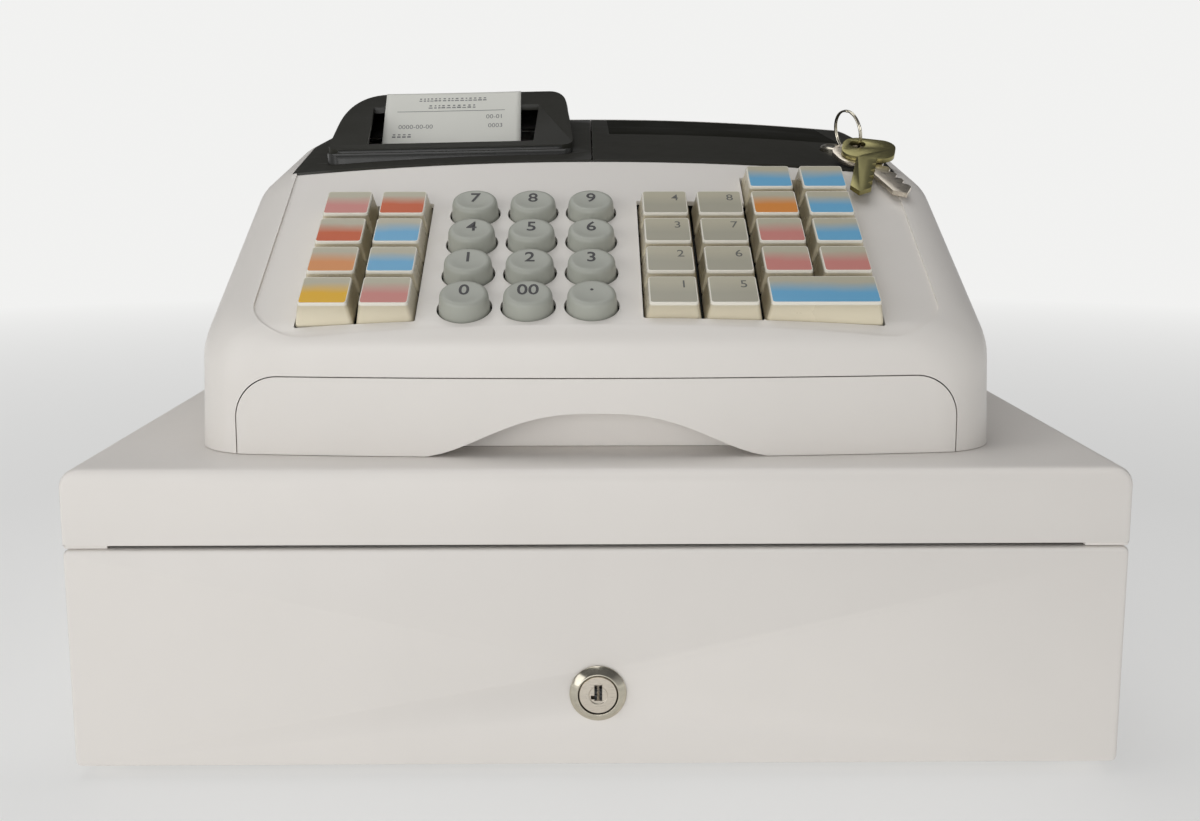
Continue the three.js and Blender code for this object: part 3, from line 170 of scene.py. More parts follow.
# Materials
def new_material(name):
    material = bpy.data.materials.new(name)
    material.use_nodes = True
    tree = material.node_tree
    tree.nodes.clear()
    shader = add_node(tree, "BsdfPrincipled")
    out = add_node(tree, "OutputMaterial")
    link(shader.outputs[0], out.inputs["Surface"])
    return material, tree, shader


def add_noise(tree, scale, detail=4, rough=0.55, coordinates=None):
    if coordinates is None:
        coordinates = add_node(tree, "TexCoord").outputs["Object"]
    noise = add_node(tree, "TexNoise")
    put(noise, {"Scale": scale, "Detail": detail, "Roughness": rough})
    link(coordinates, noise.inputs["Vector"])
    return noise.outputs[0]


def ramp(tree, value, stops):
    node = add_node(tree, "ValToRGB")
    elements = node.color_ramp.elements
    while len(elements) < len(stops):
        elements.new(0.5)
    for element, (position, color) in zip(elements, stops):
        element.position = position
        element.color = (*color, 1)
    link(value, node.inputs["Fac"])
    return node.outputs["Color"]


def add_bump(tree, shader, height, strength, distance):
    bump = add_node(tree, "Bump")
    put(bump, {"Strength": strength, "Distance": distance})
    link(height, bump.inputs["Height"])
    link(bump.outputs["Normal"], shader.inputs["Normal"])


CLOUD_SCALE, SMUDGE_SCALE, MARK_SCALE, PRINT_GRAIN = 14, 45, 320, 3000
MIDDLE = (0.3, 0.7)
EDGE_POINTINESS, HANDLED_POINTINESS = (0.52, 0.6), (0.51, 0.56)
GRAIN_STRENGTH, MARK_STRENGTH, MARK_DEPTH = 0.35, 0.10, 0.00002
BRUSHING = (1, 1, 18)


def moulded(name, color, roughness, grain, grain_depth, blotch=0.03, edge_wear_and_highlight=0.04, shine=0.5,
            polish=0):
    """Moulded plastic or paint: fine grain, faint clouding, edges paler partly from wear and
    partly as a painted highlight. With polish, the edges are also glossier, as hands make them."""
    material, tree, shader = new_material(name)
    put(shader, {"Specular IOR Level": shine})
    clouds = add_noise(tree, CLOUD_SCALE, 3)
    low = tuple(c * (1 - blotch) for c in color)
    high = tuple(min(1, c * (1 + blotch)) for c in color)
    base = ramp(tree, clouds, [(0.35, low), (0.65, high)])
    geometry = add_node(tree, "NewGeometry")
    # Convex edges are paled towards white: partly wear, partly a painted highlight along the
    # edges.
    edge = spread(tree, geometry.outputs["Pointiness"], *EDGE_POINTINESS, 0, edge_wear_and_highlight * 4)
    mix = add_node(tree, "Mix")
    mix.data_type = "RGBA"
    link(edge, mix.inputs["Factor"])
    link(base, mix.inputs["A"])
    put(mix, {"B": (*[min(1, c + 0.25 * (1 - c)) for c in color], 1)})
    link(mix.outputs["Result"], shader.inputs["Base Color"])
    smudge = add_noise(tree, SMUDGE_SCALE, 5, 0.6)
    rough = spread(tree, smudge, *MIDDLE, roughness - 0.05, roughness + 0.06)
    if polish:
        handled = spread(tree, geometry.outputs["Pointiness"], *HANDLED_POINTINESS, 1,
                         1 - polish)
        rough = combine(tree, "MULTIPLY", rough, handled)
    link(rough, shader.inputs["Roughness"])
    add_bump(tree, shader, add_noise(tree, grain, 2), GRAIN_STRENGTH, grain_depth)
    return material


def metal(name, color, roughness, brushed=False):
    """Metal with fine marks, drawn out in one direction where it is brushed."""
    material, tree, shader = new_material(name)
    put(shader, {"Metallic": 1})
    coordinates = add_node(tree, "TexCoord").outputs["Object"]
    mapping = add_node(tree, "Mapping")
    put(mapping, {"Scale": BRUSHING if brushed else (1, 1, 1)})
    link(coordinates, mapping.inputs["Vector"])
    marks = add_noise(tree, MARK_SCALE, 5, 0.6, mapping.outputs["Vector"])
    low = tuple(c * 0.86 for c in color)
    link(ramp(tree, marks, [(0.3, low), (0.6, color)]), shader.inputs["Base Color"])
    rough = spread(tree, marks, *MIDDLE, roughness - 0.05, roughness + 0.09)
    link(rough, shader.inputs["Roughness"])
    add_bump(tree, shader, marks, MARK_STRENGTH, MARK_DEPTH)
    return material


def ink(name, color, roughness):
    """Print on paper or plastic."""
    material, tree, shader = new_material(name)
    put(shader, {"Base Color": (*color, 1), "Roughness": roughness})
    add_bump(tree, shader, add_noise(tree, PRINT_GRAIN), 0.1, 0.000005)
    return material


# Name, colour, roughness, scale and depth of the grain
CABINET = moulded("cabinet_paint", (0.80, 0.765, 0.722), 0.45, 900, 0.00004, blotch=0.012)
HOUSING = moulded("housing_plastic", (0.79, 0.757, 0.712), 0.38, 1500, 0.00002, blotch=0.012)
# A paler copy of the housing plastic for the head's lower case: painted light that brightens
# the shaded recess wall behind the finger arch.
HOUSING_PAINTED_LIGHT = moulded("housing_plastic_painted_light", (0.94, 0.905, 0.86), 0.38, 1500, 0.00002,
                     blotch=0.012)
BLACK = moulded("black_plastic", (0.017, 0.0165, 0.011), 0.62, 1700, 0.00003, blotch=0.1,
                edge_wear_and_highlight=0.02, shine=0.22, polish=0.4)
POLISHED = moulded("polished_black", (0.012, 0.012, 0.010), 0.28, 1200, 0.000004, blotch=0.1,
                   edge_wear_and_highlight=0.02, shine=0.32)
SMOKED = moulded("smoked_window", (0.009, 0.009, 0.005), 0.42, 1200, 0.000004, blotch=0.1,
                 edge_wear_and_highlight=0, shine=0.01)
BOARD = moulded("board_plastic", (0.014, 0.014, 0.014), 0.6, 1700, 0.00002, blotch=0.1)
TRAY = moulded("tray_plastic", (0.035, 0.035, 0.038), 0.5, 1400, 0.00004, blotch=0.08)
CLIP = moulded("clip_plastic", (0.25, 0.26, 0.27), 0.45, 1400, 0.00003, blotch=0.05)
CREAM = moulded("key_cap_plastic", (0.80, 0.73, 0.56), 0.28, 1500, 0.00001)
COVER_RIM_HIGHLIGHT = moulded("cover_rim_painted_highlight", (0.82, 0.785, 0.69), 0.2, 1500, 0.00001, blotch=0.02,
                    edge_wear_and_highlight=0.02)
GREY_KEY = moulded("round_key_plastic", (0.41, 0.42, 0.37), 0.34, 1500, 0.00001, shine=0.3)
PAPER = moulded("thermal_paper", (0.70, 0.70, 0.645), 0.7, 2600, 0.00001, blotch=0.02, edge_wear_and_highlight=0)
INK = ink("print_ink", (0.03, 0.028, 0.03), 0.45)
PALE_INK = ink("faded_ink", (0.12, 0.12, 0.11), 0.6)
FAINT_INK = ink("thermal_print", (0.20, 0.20, 0.20), 0.7)
ZINC = metal("zinc_sheet", (0.58, 0.59, 0.60), 0.36, True)
# The chrome's warm tint is a painted reflection of a warm surface below; the metal itself is
# grey.
CHROME_WARM_REFLECTION = metal("lock_chrome", (0.62, 0.58, 0.48), 0.15)
SATIN = metal("lock_satin", (0.68, 0.62, 0.53), 0.30, True)
BRASS = metal("brass_plate", (0.34, 0.31, 0.14), 0.34, True)
RUBBER = moulded("foot_rubber", (0.02, 0.02, 0.02), 0.75, 1400, 0.00004, blotch=0.1)


# Shapes. Edges sharper than this many degrees count as edges on the curved shells.
WELD_REACH = 0.02 * MM
SHARP = 32
QUARTER_TURN = Matrix.Rotation(math.radians(90), 4, "X")


def move(bm, matrix):
    bmesh.ops.transform(bm, matrix=matrix, verts=bm.verts)


def make_object(name, bm):
    """Turns a bmesh into an object whose faces look outwards."""
    mesh = bpy.data.meshes.new(name)
    bmesh.ops.recalc_face_normals(bm, faces=bm.faces)
    bm.to_mesh(mesh)
    bm.free()
    return add_object(name, mesh)


def coat(piece, material):
    """Gives a whole piece one material and smooth shading."""
    piece.data.materials.clear()
    piece.data.materials.append(material)
    for polygon in piece.data.polygons:
        polygon.material_index = 0
        polygon.use_smooth = True


def weld(piece):
    step = piece.modifiers.new("weld", "WELD")
    step.merge_threshold = WELD_REACH


def round_edges(piece, width, segments, angle):
    """Rounds the edges that are sharper than an angle in degrees, by millimetres."""
    edge = piece.modifiers.new("edge", "BEVEL")
    edge.width = width * MM
    edge.segments = segments
    edge.limit_method = "ANGLE"
    edge.angle_limit = math.radians(angle)
    edge.harden_normals = True


def keep(piece, name, body, node):
    """Puts a piece on a body, in place of a CAD node where one is given."""
    piece.name = name
    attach(piece, body)
    if node:
        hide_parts(node)


def finish_mesh(name, bm, materials, body, node, smooth=True):
    """Turns a bmesh into a piece that rides on a body."""
    piece = make_object(name, bm)
    for material in materials:
        piece.data.materials.append(material)
    for polygon in piece.data.polygons:
        polygon.use_smooth = smooth
    keep(piece, name, body, node)
    return piece


def evaluated_mesh(piece):
    view = bpy.context.evaluated_depsgraph_get()
    return bpy.data.meshes.new_from_object(piece.evaluated_get(view))


def csg(target, tool, operation="DIFFERENCE"):
    """Joins, cuts or keeps the common part of two closed meshes; the tool goes away."""
    step = target.modifiers.new("csg", "BOOLEAN")
    step.operation = operation
    step.solver = "EXACT"
    step.object = tool
    made = evaluated_mesh(target)
    target.modifiers.clear()
    target.data = made
    bpy.data.objects.remove(tool)
    return target


def solid(bm):
    """A closed bmesh, in millimetres in the head's frame, as an object in the part's frame."""
    piece = make_object("solid", bm)
    piece.data.transform(HEAD_FRAME)
    return piece


def add_sides(bm, rings):
    """Joins rings of as many points each by quads, and returns their vertices."""
    grid = [[bm.verts.new(point) for point in ring] for ring in rings]
    for first, second in zip(grid, grid[1:]):
        for i in range(len(first)):
            j = (i + 1) % len(first)
            bm.faces.new((first[i], first[j], second[j], second[i]))
    return grid


def ring_solid(rings):
    """A closed body through rings of points that run up one side and back down the other."""
    bm = bmesh.new()
    grid = add_sides(bm, rings)
    count = len(rings[0])
    half = count // 2
    for ring in (grid[0], grid[-1]):
        for i in range(half - 1):
            bm.faces.new((ring[i], ring[i + 1], ring[count - 2 - i], ring[count - 1 - i]))
    return bm


def loft(bm, rings, top_material=0):
    """Adds a closed body through rings of points, whose last ring can have its own material."""
    grid = add_sides(bm, rings)
    bm.faces.new(grid[0][::-1])
    bm.faces.new(grid[-1]).material_index = top_material
    return bm


def prism(bm, outline, low, high):
    """Adds a prism over an outline in X and Y, from one height to another."""
    return loft(bm, [[(x, y, z) for x, y in outline] for z in (low, high)])


def block(outline, low, high, matrix=Matrix()):
    """A prism that is moved by a matrix, as an object."""
    bm = prism(bmesh.new(), outline, low, high)
    move(bm, matrix)
    return solid(bm)


def circle(radius, steps):
    angles = [2 * math.pi * k / steps for k in range(steps)]
    return [(radius * math.cos(angle), radius * math.sin(angle)) for angle in angles]


def box_outline(left, low, right, high):
    return [(left, low), (right, low), (right, high), (left, high)]


def rounded_box(left, right, front, rear, radii, steps):
    """Outline of a rectangle with its own radius at each corner, from front left round."""
    corners = [(left, front, 1, 1, 180), (right, front, -1, 1, 270),
               (right, rear, -1, -1, 0), (left, rear, 1, -1, 90)]
    points = []
    for (x, y, inx, iny, start), radius in zip(corners, radii):
        if not radius:
            points.append((x, y))
            continue
        for step in range(steps + 1):
            angle = math.radians(start + 90 * step / steps)
            points.append((x + inx * radius + radius * math.cos(angle),
                           y + iny * radius + radius * math.sin(angle)))
    return points


# Head body, in millimetres in the head's frame: the origin lies at the cabinet's
# top, in the middle of its front edge.
CABINET_FRONT, CABINET_TOP = -178.75, 100.5
HEAD_FRAME = Matrix.Scale(MM, 4) @ Matrix.Translation((0, CABINET_FRONT, CABINET_TOP))
HEAD_FRONT, HEAD_REAR = 15.4, 295.4
FOLD_HEIGHT = 40.8
DECK_SLOPE = math.radians(27)
BAND_FRONT = 119.29
# Where each stretch of the middle line starts, its height there and its slope in degrees
SADDLE = [(15.4, 40.8, 27), (119.29, 93.74, 10), (185.99, 105.50, 6), (249.99, 112.23, -4)]
BAND_STATIONS = [BAND_FRONT, 138, 158, 185.99, 205, 225, 249.99, 262, 274]
DECK_STEP, DECK_STEPS, LEAST_STEP, FOLD_STEPS = 9.2, 8, 0.2, 9
PLAN_CORNER, SHOULDER, REAR_RADIUS, FOLD_RADIUS = 20, 18, 14, 6
SHOULDER_STEPS, CROWN_STEPS = 12, 18
KNEE = 0.45
HALF_WIDTH, LEAN = 131, 0.046
WALL = 2.5
CROWN = 2500
BOW = 1860
PLAY = 0.25
# Height at which the cutters start, below the head
BELOW = -2


def middle_line(y):
    """Height and slope of the head's middle line."""
    height, slope = None, None
    for start, base, angle in SADDLE:
        if y >= start or height is None:
            slope = math.radians(angle)
            height = base + (y - start) * math.tan(slope)
    return height, slope


def corner_draw_in(distance, radius):
    """How far a round corner lies inside the sharp one, at a distance from its start."""
    if distance >= radius:
        return 0
    return radius - math.sqrt(max(0, radius ** 2 - (radius - distance) ** 2))


def bow_at(x, y):
    """The deck's cross lines bow back towards the sides, most at the front fold."""
    share = (BAND_FRONT - y) / (BAND_FRONT - HEAD_FRONT - FOLD_RADIUS)
    return x ** 2 / BOW * min(1, max(0, share))


def stations(front, rear, corner, fold, rear_fold):
    """The depths at which the head's body has a cross-section."""
    curve = [1 - math.cos(math.radians(90 * k / FOLD_STEPS)) for k in range(FOLD_STEPS + 1)]
    found = [front + k * corner for k in curve] + [rear - k * corner for k in curve]
    found += [front + k * fold for k in curve[1:]] + [rear - k * rear_fold for k in curve[1:]]
    found += [front + corner + k * DECK_STEP for k in range(1, DECK_STEPS + 1)]
    found += BAND_STATIONS
    found.sort()
    kept = found[:1]
    for y in found[1:]:
        if y - kept[-1] > LEAST_STEP:
            kept.append(y)
    return kept


def head_body(inset, bottom):
    """The head's outer form, drawn in by an inset, from a bottom height up."""
    front, rear = HEAD_FRONT + inset, HEAD_REAR - inset
    corner, fold = PLAN_CORNER - inset, FOLD_RADIUS - inset / 2
    rear_fold, shoulder = REAR_RADIUS - inset, SHOULDER - inset
    rings = []
    for y in stations(front, rear, corner, fold, rear_fold):
        draw = max(corner_draw_in(y - front, corner), corner_draw_in(rear - y, corner))
        drop = corner_draw_in(y - front, fold) + corner_draw_in(rear - y, rear_fold)

        def side_at(z):
            return HALF_WIDTH - inset - LEAN * z - draw

        def top_at(x, station):
            height, slope = middle_line(station)
            return height - inset / math.cos(slope) - x ** 2 / CROWN - drop

        rough = top_at(side_at(0) - shoulder, y)
        centre_x = side_at(rough - shoulder) - shoulder
        centre_z = top_at(centre_x, y + bow_at(centre_x, y)) - shoulder
        half = []
        for step in range(SHOULDER_STEPS + 1):
            angle = math.radians(90 * step / SHOULDER_STEPS)
            half.append((centre_x + shoulder * math.cos(angle),
                         centre_z + shoulder * math.sin(angle)))
        knee = KNEE * centre_z
        upper = [(side_at(knee), knee)] + half
        for step in range(1, CROWN_STEPS):
            x = centre_x * (1 - 2 * step / CROWN_STEPS)
            upper.append((x, top_at(x, y + bow_at(x, y))))
        upper += [(-x, z) for x, z in reversed(half)]
        upper.append((-side_at(knee), knee))
        foot_scale = side_at(bottom) / upper[0][0]
        lower = [(x * foot_scale, bottom) for x, z in reversed(upper)]
        rings.append([(x, y + bow_at(x, y), z) for x, z in upper + lower])
    return solid(ring_solid(rings))


# Deck: sunk by a little, with a well for each block of square keys and a hole for each
# round key. Its cutters reach as far below its surface as above it.
DECK_FRAME = (Matrix.Translation((0, HEAD_FRONT, FOLD_HEIGHT))
              @ Matrix.Rotation(DECK_SLOPE, 4, "X"))
DECK_HALF, DECK_START, DECK_END, DECK_CORNER = 112, 4, 118.6, 20
DECK_SINK, DECK_CUT = 0.8, 18
LEFT_BLOCK, DEPARTMENT_BLOCK, FUNCTION_BLOCK = -77.4, 34.2, 73
BLOCK_ROWS = {LEFT_BLOCK: 4, DEPARTMENT_BLOCK: 4, FUNCTION_BLOCK: 5}
KEY_PITCH, KEY_START = 19.4, 16.6
KEY_FRONT, KEY_REAR, KEY_GAP = 7.9, 10.7, 0.4
WELL_CORNER = 0.8
ROUND_COLUMNS, ROUND_ROWS = (-42.6, -22.1, -1.6), (15.3, 35.8, 56.3, 76.8)
ROUND_HOLE, ROUND_STEPS = 9, 48

# Black band's seat: a ledge round its opening, below a shallow recess
BAND_NARROW, BAND_WIDE, BAND_LENGTH, BAND_CORNER = 113.5, 119, 128, 5
BAND_THICK = 2.5
BAND_LOW, BAND_HIGH = 40, 150
LEDGE_HIGH, LEDGE_CUT_LOW = 140, 30
LEDGE_REACH, LEDGE_THICK = 3, 2
SEAT = BAND_THICK + PLAY
FAR = 300

# Skirt's opening, and the finger arch in its lower edge
SKIRT_HALF, SKIRT_TOP, SKIRT_CORNER, SKIRT_GAP = 116.25, 25.65, 14.25, 0.375
OPENING_REACH, SKIRT_REACH, ARCH_CUT = 60, 40, (-3, 60)
ARCH_HALF, ARCH_RISE, ARCH_STEPS, ARCH_LEAN = 58, 14.2, 14, 1.35
SKIRT_REAR = 34.7
# Turns an outline drawn in X and Z into a prism that runs forwards from the skirt's rear.
UPRIGHT = Matrix.Translation((0, SKIRT_REAR, 0)) @ QUARTER_TURN


def band_outline(margin, left=-FAR, right=FAR):
    front_x, rear_x = BAND_NARROW + margin, BAND_WIDE + margin
    front, rear = BAND_FRONT - margin, BAND_FRONT + BAND_LENGTH + margin
    corner = BAND_CORNER

    def clip(x):
        return min(right, max(left, x))

    return [(clip(-front_x), front), (clip(front_x), front), (clip(rear_x), rear - corner),
            (clip(rear_x - corner), rear), (clip(corner - rear_x), rear),
            (clip(-rear_x), rear - corner)]


def deck_cut(outline):
    return block(outline, -DECK_CUT, DECK_CUT, DECK_FRAME)


def head_shell():
    return csg(head_body(0, PLAY), head_body(WALL, BELOW))


def skirt_outline(gap):
    corner = SKIRT_CORNER - gap
    return rounded_box(gap - SKIRT_HALF, SKIRT_HALF - gap, BELOW, SKIRT_TOP - gap,
                       (0, 0, corner, corner), 16)


def make_housing():
    shell = head_shell()
    deck = rounded_box(-DECK_HALF, DECK_HALF, DECK_START, DECK_END,
                       (DECK_CORNER, DECK_CORNER, 0, 0), 16)
    csg(shell, csg(deck_cut(deck), head_body(DECK_SINK, 0)))
    ledge = block(band_outline(LEDGE_REACH), BAND_LOW, LEDGE_HIGH)
    csg(ledge, block(band_outline(-LEDGE_REACH), LEDGE_CUT_LOW, BAND_HIGH))
    csg(ledge, head_body(WALL / 2, 0), "INTERSECT")
    csg(ledge, head_body(SEAT + LEDGE_THICK, 0))
    csg(shell, ledge, "UNION")
    recess = block(band_outline(PLAY), BAND_LOW, BAND_HIGH)
    csg(recess, head_body(SEAT, 0))
    csg(shell, recess)
    csg(shell, block(band_outline(-LEDGE_REACH), LEDGE_CUT_LOW, BAND_HIGH))
    for centre, rows in BLOCK_ROWS.items():
        start = KEY_START - KEY_FRONT - KEY_GAP
        end = KEY_START + (rows - 1) * KEY_PITCH + KEY_REAR + KEY_GAP
        csg(shell, deck_cut(rounded_box(centre - KEY_PITCH, centre + KEY_PITCH, start, end,
                                        (WELL_CORNER,) * 4, 3)))
    for x in ROUND_COLUMNS:
        for s in ROUND_ROWS:
            hole = circle(ROUND_HOLE, ROUND_STEPS)
            csg(shell, deck_cut([(x + u, s + v) for u, v in hole]))
    csg(shell, block(skirt_outline(0), 0, OPENING_REACH, UPRIGHT))
    keep_housing(shell, "housing_shell", "upper_housing", 0.3)


def keep_housing(shell, name, node, bevel):
    coat(shell, HOUSING)
    weld(shell)
    round_edges(shell, bevel, 2, SHARP)
    keep(shell, name, "register_body", node)


def arch_outline():
    """The finger arch: a low crown that runs out into the skirt's edge in a reverse curve."""
    shares = [k / ARCH_STEPS for k in range(1, ARCH_STEPS)]
    right = [(ARCH_HALF * share,
              ARCH_RISE * (0.5 + 0.5 * math.cos(math.pi * share ** ARCH_LEAN)))
             for share in reversed(shares)]
    left = [(-x, z) for x, z in reversed(right)]
    foot = [(-ARCH_HALF, 0), (-ARCH_HALF, BELOW), (ARCH_HALF, BELOW), (ARCH_HALF, 0)]
    return foot + right + [(0, ARCH_RISE)] + left


def make_skirt():
    shell = head_shell()
    csg(shell, block(skirt_outline(SKIRT_GAP), 0, SKIRT_REACH, UPRIGHT), "INTERSECT")
    csg(shell, block(arch_outline(), *ARCH_CUT, UPRIGHT))
    keep_housing(shell, "skirt_panel", "front_skirt", 0.35)


make_housing()
make_skirt()


# Key caps
LABELS = {
    "pink": (0.61, 0.24, 0.21), "red": (0.58, 0.10, 0.02), "blue": (0.15, 0.42, 0.66),
    "tan": (0.70, 0.28, 0.09), "yellow": (0.78, 0.44, 0.005), "orange": (0.70, 0.26, 0.05),
    "grey": (0.41, 0.39, 0.31),
}
SLIP_GREY = (0.50, 0.47, 0.36)
# Each row of a block from the front, left key first. The first row of the function keys
# is one wide key.
LEFT_ROWS = [("yellow", "pink"), ("tan", "blue"), ("red", "blue"), ("pink", "red")]
FUNCTION_ROWS = [(), ("pink", "pink"), ("pink", "blue"), ("orange", "blue"), ("blue", "blue")]
DEPARTMENT_ROWS = [("1", "5"), ("2", "6"), ("3", "7"), ("4", "8")]
ROUND_NAMES = [("0", "00", "point"), ("1", "2", "3"), ("4", "5", "6"), ("7", "8", "9")]
CAP_ROOT = -4.6
# Height from which a square cap is covered by clear plastic with a pale painted highlight
COVER_EDGE = 3.3
# Half the widths of a square cap's foot and top, and the top's reach forwards and back
CAP_BASE, CAP_TOP, TOP_FRONT, TOP_REAR = 9.3, 7.8, 7.5, 8.3
# A round cap's radii and heights: the dished top from its middle out, and the side
DISH = [(0, 4.12), (2.0, 4.12), (4.2, 4.22), (5.9, 4.45), (6.6, 4.48), (7.2, 4.27)]
ROUND_SIDE = [(8.5, CAP_ROOT), (8.42, -3), (7.95, 2.6), (7.85, 3.2), (7.62, 3.85)]
# Sizes, places on the cap and widths of the figures
NUMBER_SIZE, NUMBER_REAR, NUMBER_WEIGHT, NUMBER_NARROW = 8.2, 1.7, 0.13, 0.88
FIGURE_SIZE, FIGURE_PLACE, FIGURE_WEIGHT, FIGURE_NARROW = 6.2, (3.6, 3.4, 4.41), 0.03, 0.85
INK_LIFT = 0.04


def on_deck(x, s, level=0):
    return HEAD_FRAME @ DECK_FRAME @ Matrix.Translation((x, s, level))


def rounded_ring(half_x, front, rear, radius, z):
    outline = rounded_box(-half_x, half_x, -front, rear, (radius,) * 4, 5)
    return [(x, y, z) for x, y in outline]


def label_material(name, color):
    """A printed slip under the clear cover: pale grey at the rear, its colour in front."""
    material, tree, shader = new_material("label_" + name)
    position = add_node(tree, "UVMap")
    split = add_node(tree, "SeparateXYZ")
    link(position.outputs[0], split.inputs[0])
    wobble = spread(tree, add_noise(tree, 60, 3), *MIDDLE, -0.05, 0.05)
    place = combine(tree, "ADD", split.outputs["Y"], wobble)
    middle = tuple(0.45 * c + 0.55 * g for c, g in zip(color, SLIP_GREY))
    tinted = ramp(tree, place, [(0.0, color), (0.38, color), (0.62, middle),
                                (0.80, SLIP_GREY), (1.0, SLIP_GREY)])
    link(tinted, shader.inputs["Base Color"])
    add_bump(tree, shader, add_noise(tree, 2500, 3), 0.2, 0.00001)
    put(shader, {"Roughness": 0.6, "Specular IOR Level": 0.2, "Coat Weight": 0.3,
                 "Coat Roughness": 0.12})
    return material


LABEL_MATERIALS = {name: label_material(name, color) for name, color in LABELS.items()}


def square_cap(key, x, s, label, extra=0):
    """A cream cap with a clear cover: a printed slip on top, in a pale painted-highlight rim.
    """
    base, top, front, rear = CAP_BASE + extra, CAP_TOP + extra, TOP_FRONT, TOP_REAR
    # Half the width, the reach to the front and to the rear, the corners' radius, the height
    rings = [
        rounded_ring(base, KEY_FRONT, KEY_REAR, 1.4, CAP_ROOT),
        rounded_ring(base - 0.15, KEY_FRONT - 0.05, KEY_REAR - 0.3, 1.4, CAP_ROOT + 1.2),
        rounded_ring(top + 0.08, front + 0.05, rear + 0.2, 1.25, COVER_EDGE),
        rounded_ring(top + 0.16, front + 0.13, rear + 0.28, 1.25, COVER_EDGE + 0.05),
        rounded_ring(top + 0.06, front + 0.04, rear + 0.12, 1.2, 3.7),
        rounded_ring(top, front, rear, 1.15, 4.05),
        rounded_ring(top - 0.08, front - 0.08, rear - 0.08, 1.05, 4.32),
        rounded_ring(top - 0.2, front - 0.2, rear - 0.2, 1.0, 4.46),
        rounded_ring(top - 0.38, front - 0.38, rear - 0.38, 0.9, 4.40),
    ]
    cap = loft(bmesh.new(), rings, 1)
    uv = cap.loops.layers.uv.new("slip")
    for face in cap.faces:
        # The cap's sides above the cover edge get the pale rim: a painted highlight of the
        # clear cover's edge.
        if face.material_index == 0 and face.calc_center_median().z > COVER_EDGE:
            face.material_index = 2
        for loop in face.loops:
            place = loop.vert.co
            loop[uv].uv = ((place.x + top) / (2 * top), (place.y + front) / (front + rear))
    move(cap, on_deck(x, s))
    piece = finish_mesh(key + "_cap", cap, [CREAM, LABEL_MATERIALS[label], COVER_RIM_HIGHLIGHT], key, key)
    for polygon in piece.data.polygons:
        if polygon.material_index == 1:
            polygon.use_smooth = False


def dish(radius):
    """Height of a round cap's top at a distance from its middle."""
    for (r0, z0), (r1, z1) in zip(DISH, DISH[1:]):
        if radius <= r1:
            return z0 + (z1 - z0) * (radius - r0) / (r1 - r0)
    return DISH[-1][1]


def round_cap(key, x, s):
    profile = ROUND_SIDE + DISH[:0:-1]
    cap = loft(bmesh.new(), [[(u, v, z) for u, v in circle(radius, ROUND_STEPS)]
                             for radius, z in profile])
    move(cap, on_deck(x, s))
    finish_mesh(key + "_cap", cap, [GREY_KEY], key, key)


def add_figures(name, text, body, matrix, size, material, weight=0.0, lift=None, narrow=1):
    """Plain figures printed on a surface; lift gives the surface's height at a point."""
    curve = bpy.data.curves.new(name, "FONT")
    curve.body = text
    curve.size = size
    curve.align_x = "CENTER"
    curve.align_y = "CENTER"
    curve.offset = weight
    curve.resolution_u = 4
    piece = add_object(name, curve)
    mesh = evaluated_mesh(piece)
    bpy.data.objects.remove(piece)
    for vert in mesh.vertices:
        vert.co.x *= narrow
        if lift is not None:
            vert.co.z = lift(vert.co.x, vert.co.y)
    mesh.transform(matrix)
    mesh.materials.clear()
    mesh.materials.append(material)
    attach(add_object(name, mesh), body)


def block_keys(prefix, centre, rows):
    """Name, place on the deck and content of each key of a block two keys wide."""
    for row, pair in enumerate(rows):
        for side, column, content in zip((-1, 1), "ab", pair):
            yield (f"{prefix}_{column}{row + 1}", centre + side * KEY_PITCH / 2,
                   KEY_START + row * KEY_PITCH, content)


def make_keys():
    for key, x, s, color in block_keys("key_left", LEFT_BLOCK, LEFT_ROWS):
        square_cap(key, x, s, color)
    right, rear, level = FIGURE_PLACE
    for key, x, s, figure in block_keys("key_department", DEPARTMENT_BLOCK, DEPARTMENT_ROWS):
        square_cap(key, x, s, "grey")
        add_figures(key + "_figure", figure, key, on_deck(x + right, s + rear, level),
                    FIGURE_SIZE, PALE_INK, FIGURE_WEIGHT, None, FIGURE_NARROW)
    square_cap("key_function_wide", FUNCTION_BLOCK, KEY_START, "blue", KEY_PITCH / 2)
    for key, x, s, color in block_keys("key_function", FUNCTION_BLOCK, FUNCTION_ROWS):
        square_cap(key, x, s, color)
    for s, names in zip(ROUND_ROWS, ROUND_NAMES):
        for x, name in zip(ROUND_COLUMNS, names):
            key = "key_number_" + name
            round_cap(key, x, s)
            text = "·" if name == "point" else name
            add_figures(key + "_figure", text, key, on_deck(x, s + NUMBER_REAR), NUMBER_SIZE,
                        INK, NUMBER_WEIGHT,
                        lambda u, v: dish(math.hypot(u, v + NUMBER_REAR)) + INK_LIFT,
                        NUMBER_NARROW)


make_keys()


# Black band: the printer cover with its hood, and the bezel of the amount window
HOOD_CENTRE, HOOD_LEFT, HOOD_RIGHT = -58.5, -103.9, -8.9
HOOD_FOOT, HOOD_TOP, HOOD_TILT = 67, 122.4, math.radians(1.2)
HOOD_LEFT_ROUND, HOOD_LEFT_DROP = 18, 14
HOOD_RIGHT_FOOT, HOOD_RIGHT_LEAN, HOOD_RIGHT_ROUND, HOOD_RIGHT_DROP = 101.74, 2.4, 9, 8
HOOD_SPAN, HOOD_OVERRUN = (-106, -7), 2
LIP_FRONT, LIP_TOP, LIP_DEPTH, LIP_ROUND, LIP_OVERLAP = 131, 97, 4, 2.8, 1.2
FACE_Z, FACE_ROUND = 98.7, 1.5
CREST, CREST_ROUND, HOOD_REAR, REAR_DROP, HOOD_CORNER = 208, 4, 232, 12, 6
HOOD_WALL = 2.4
# Faces of the lip look up less than the band behind it.
LIP_NORMAL = 0.93
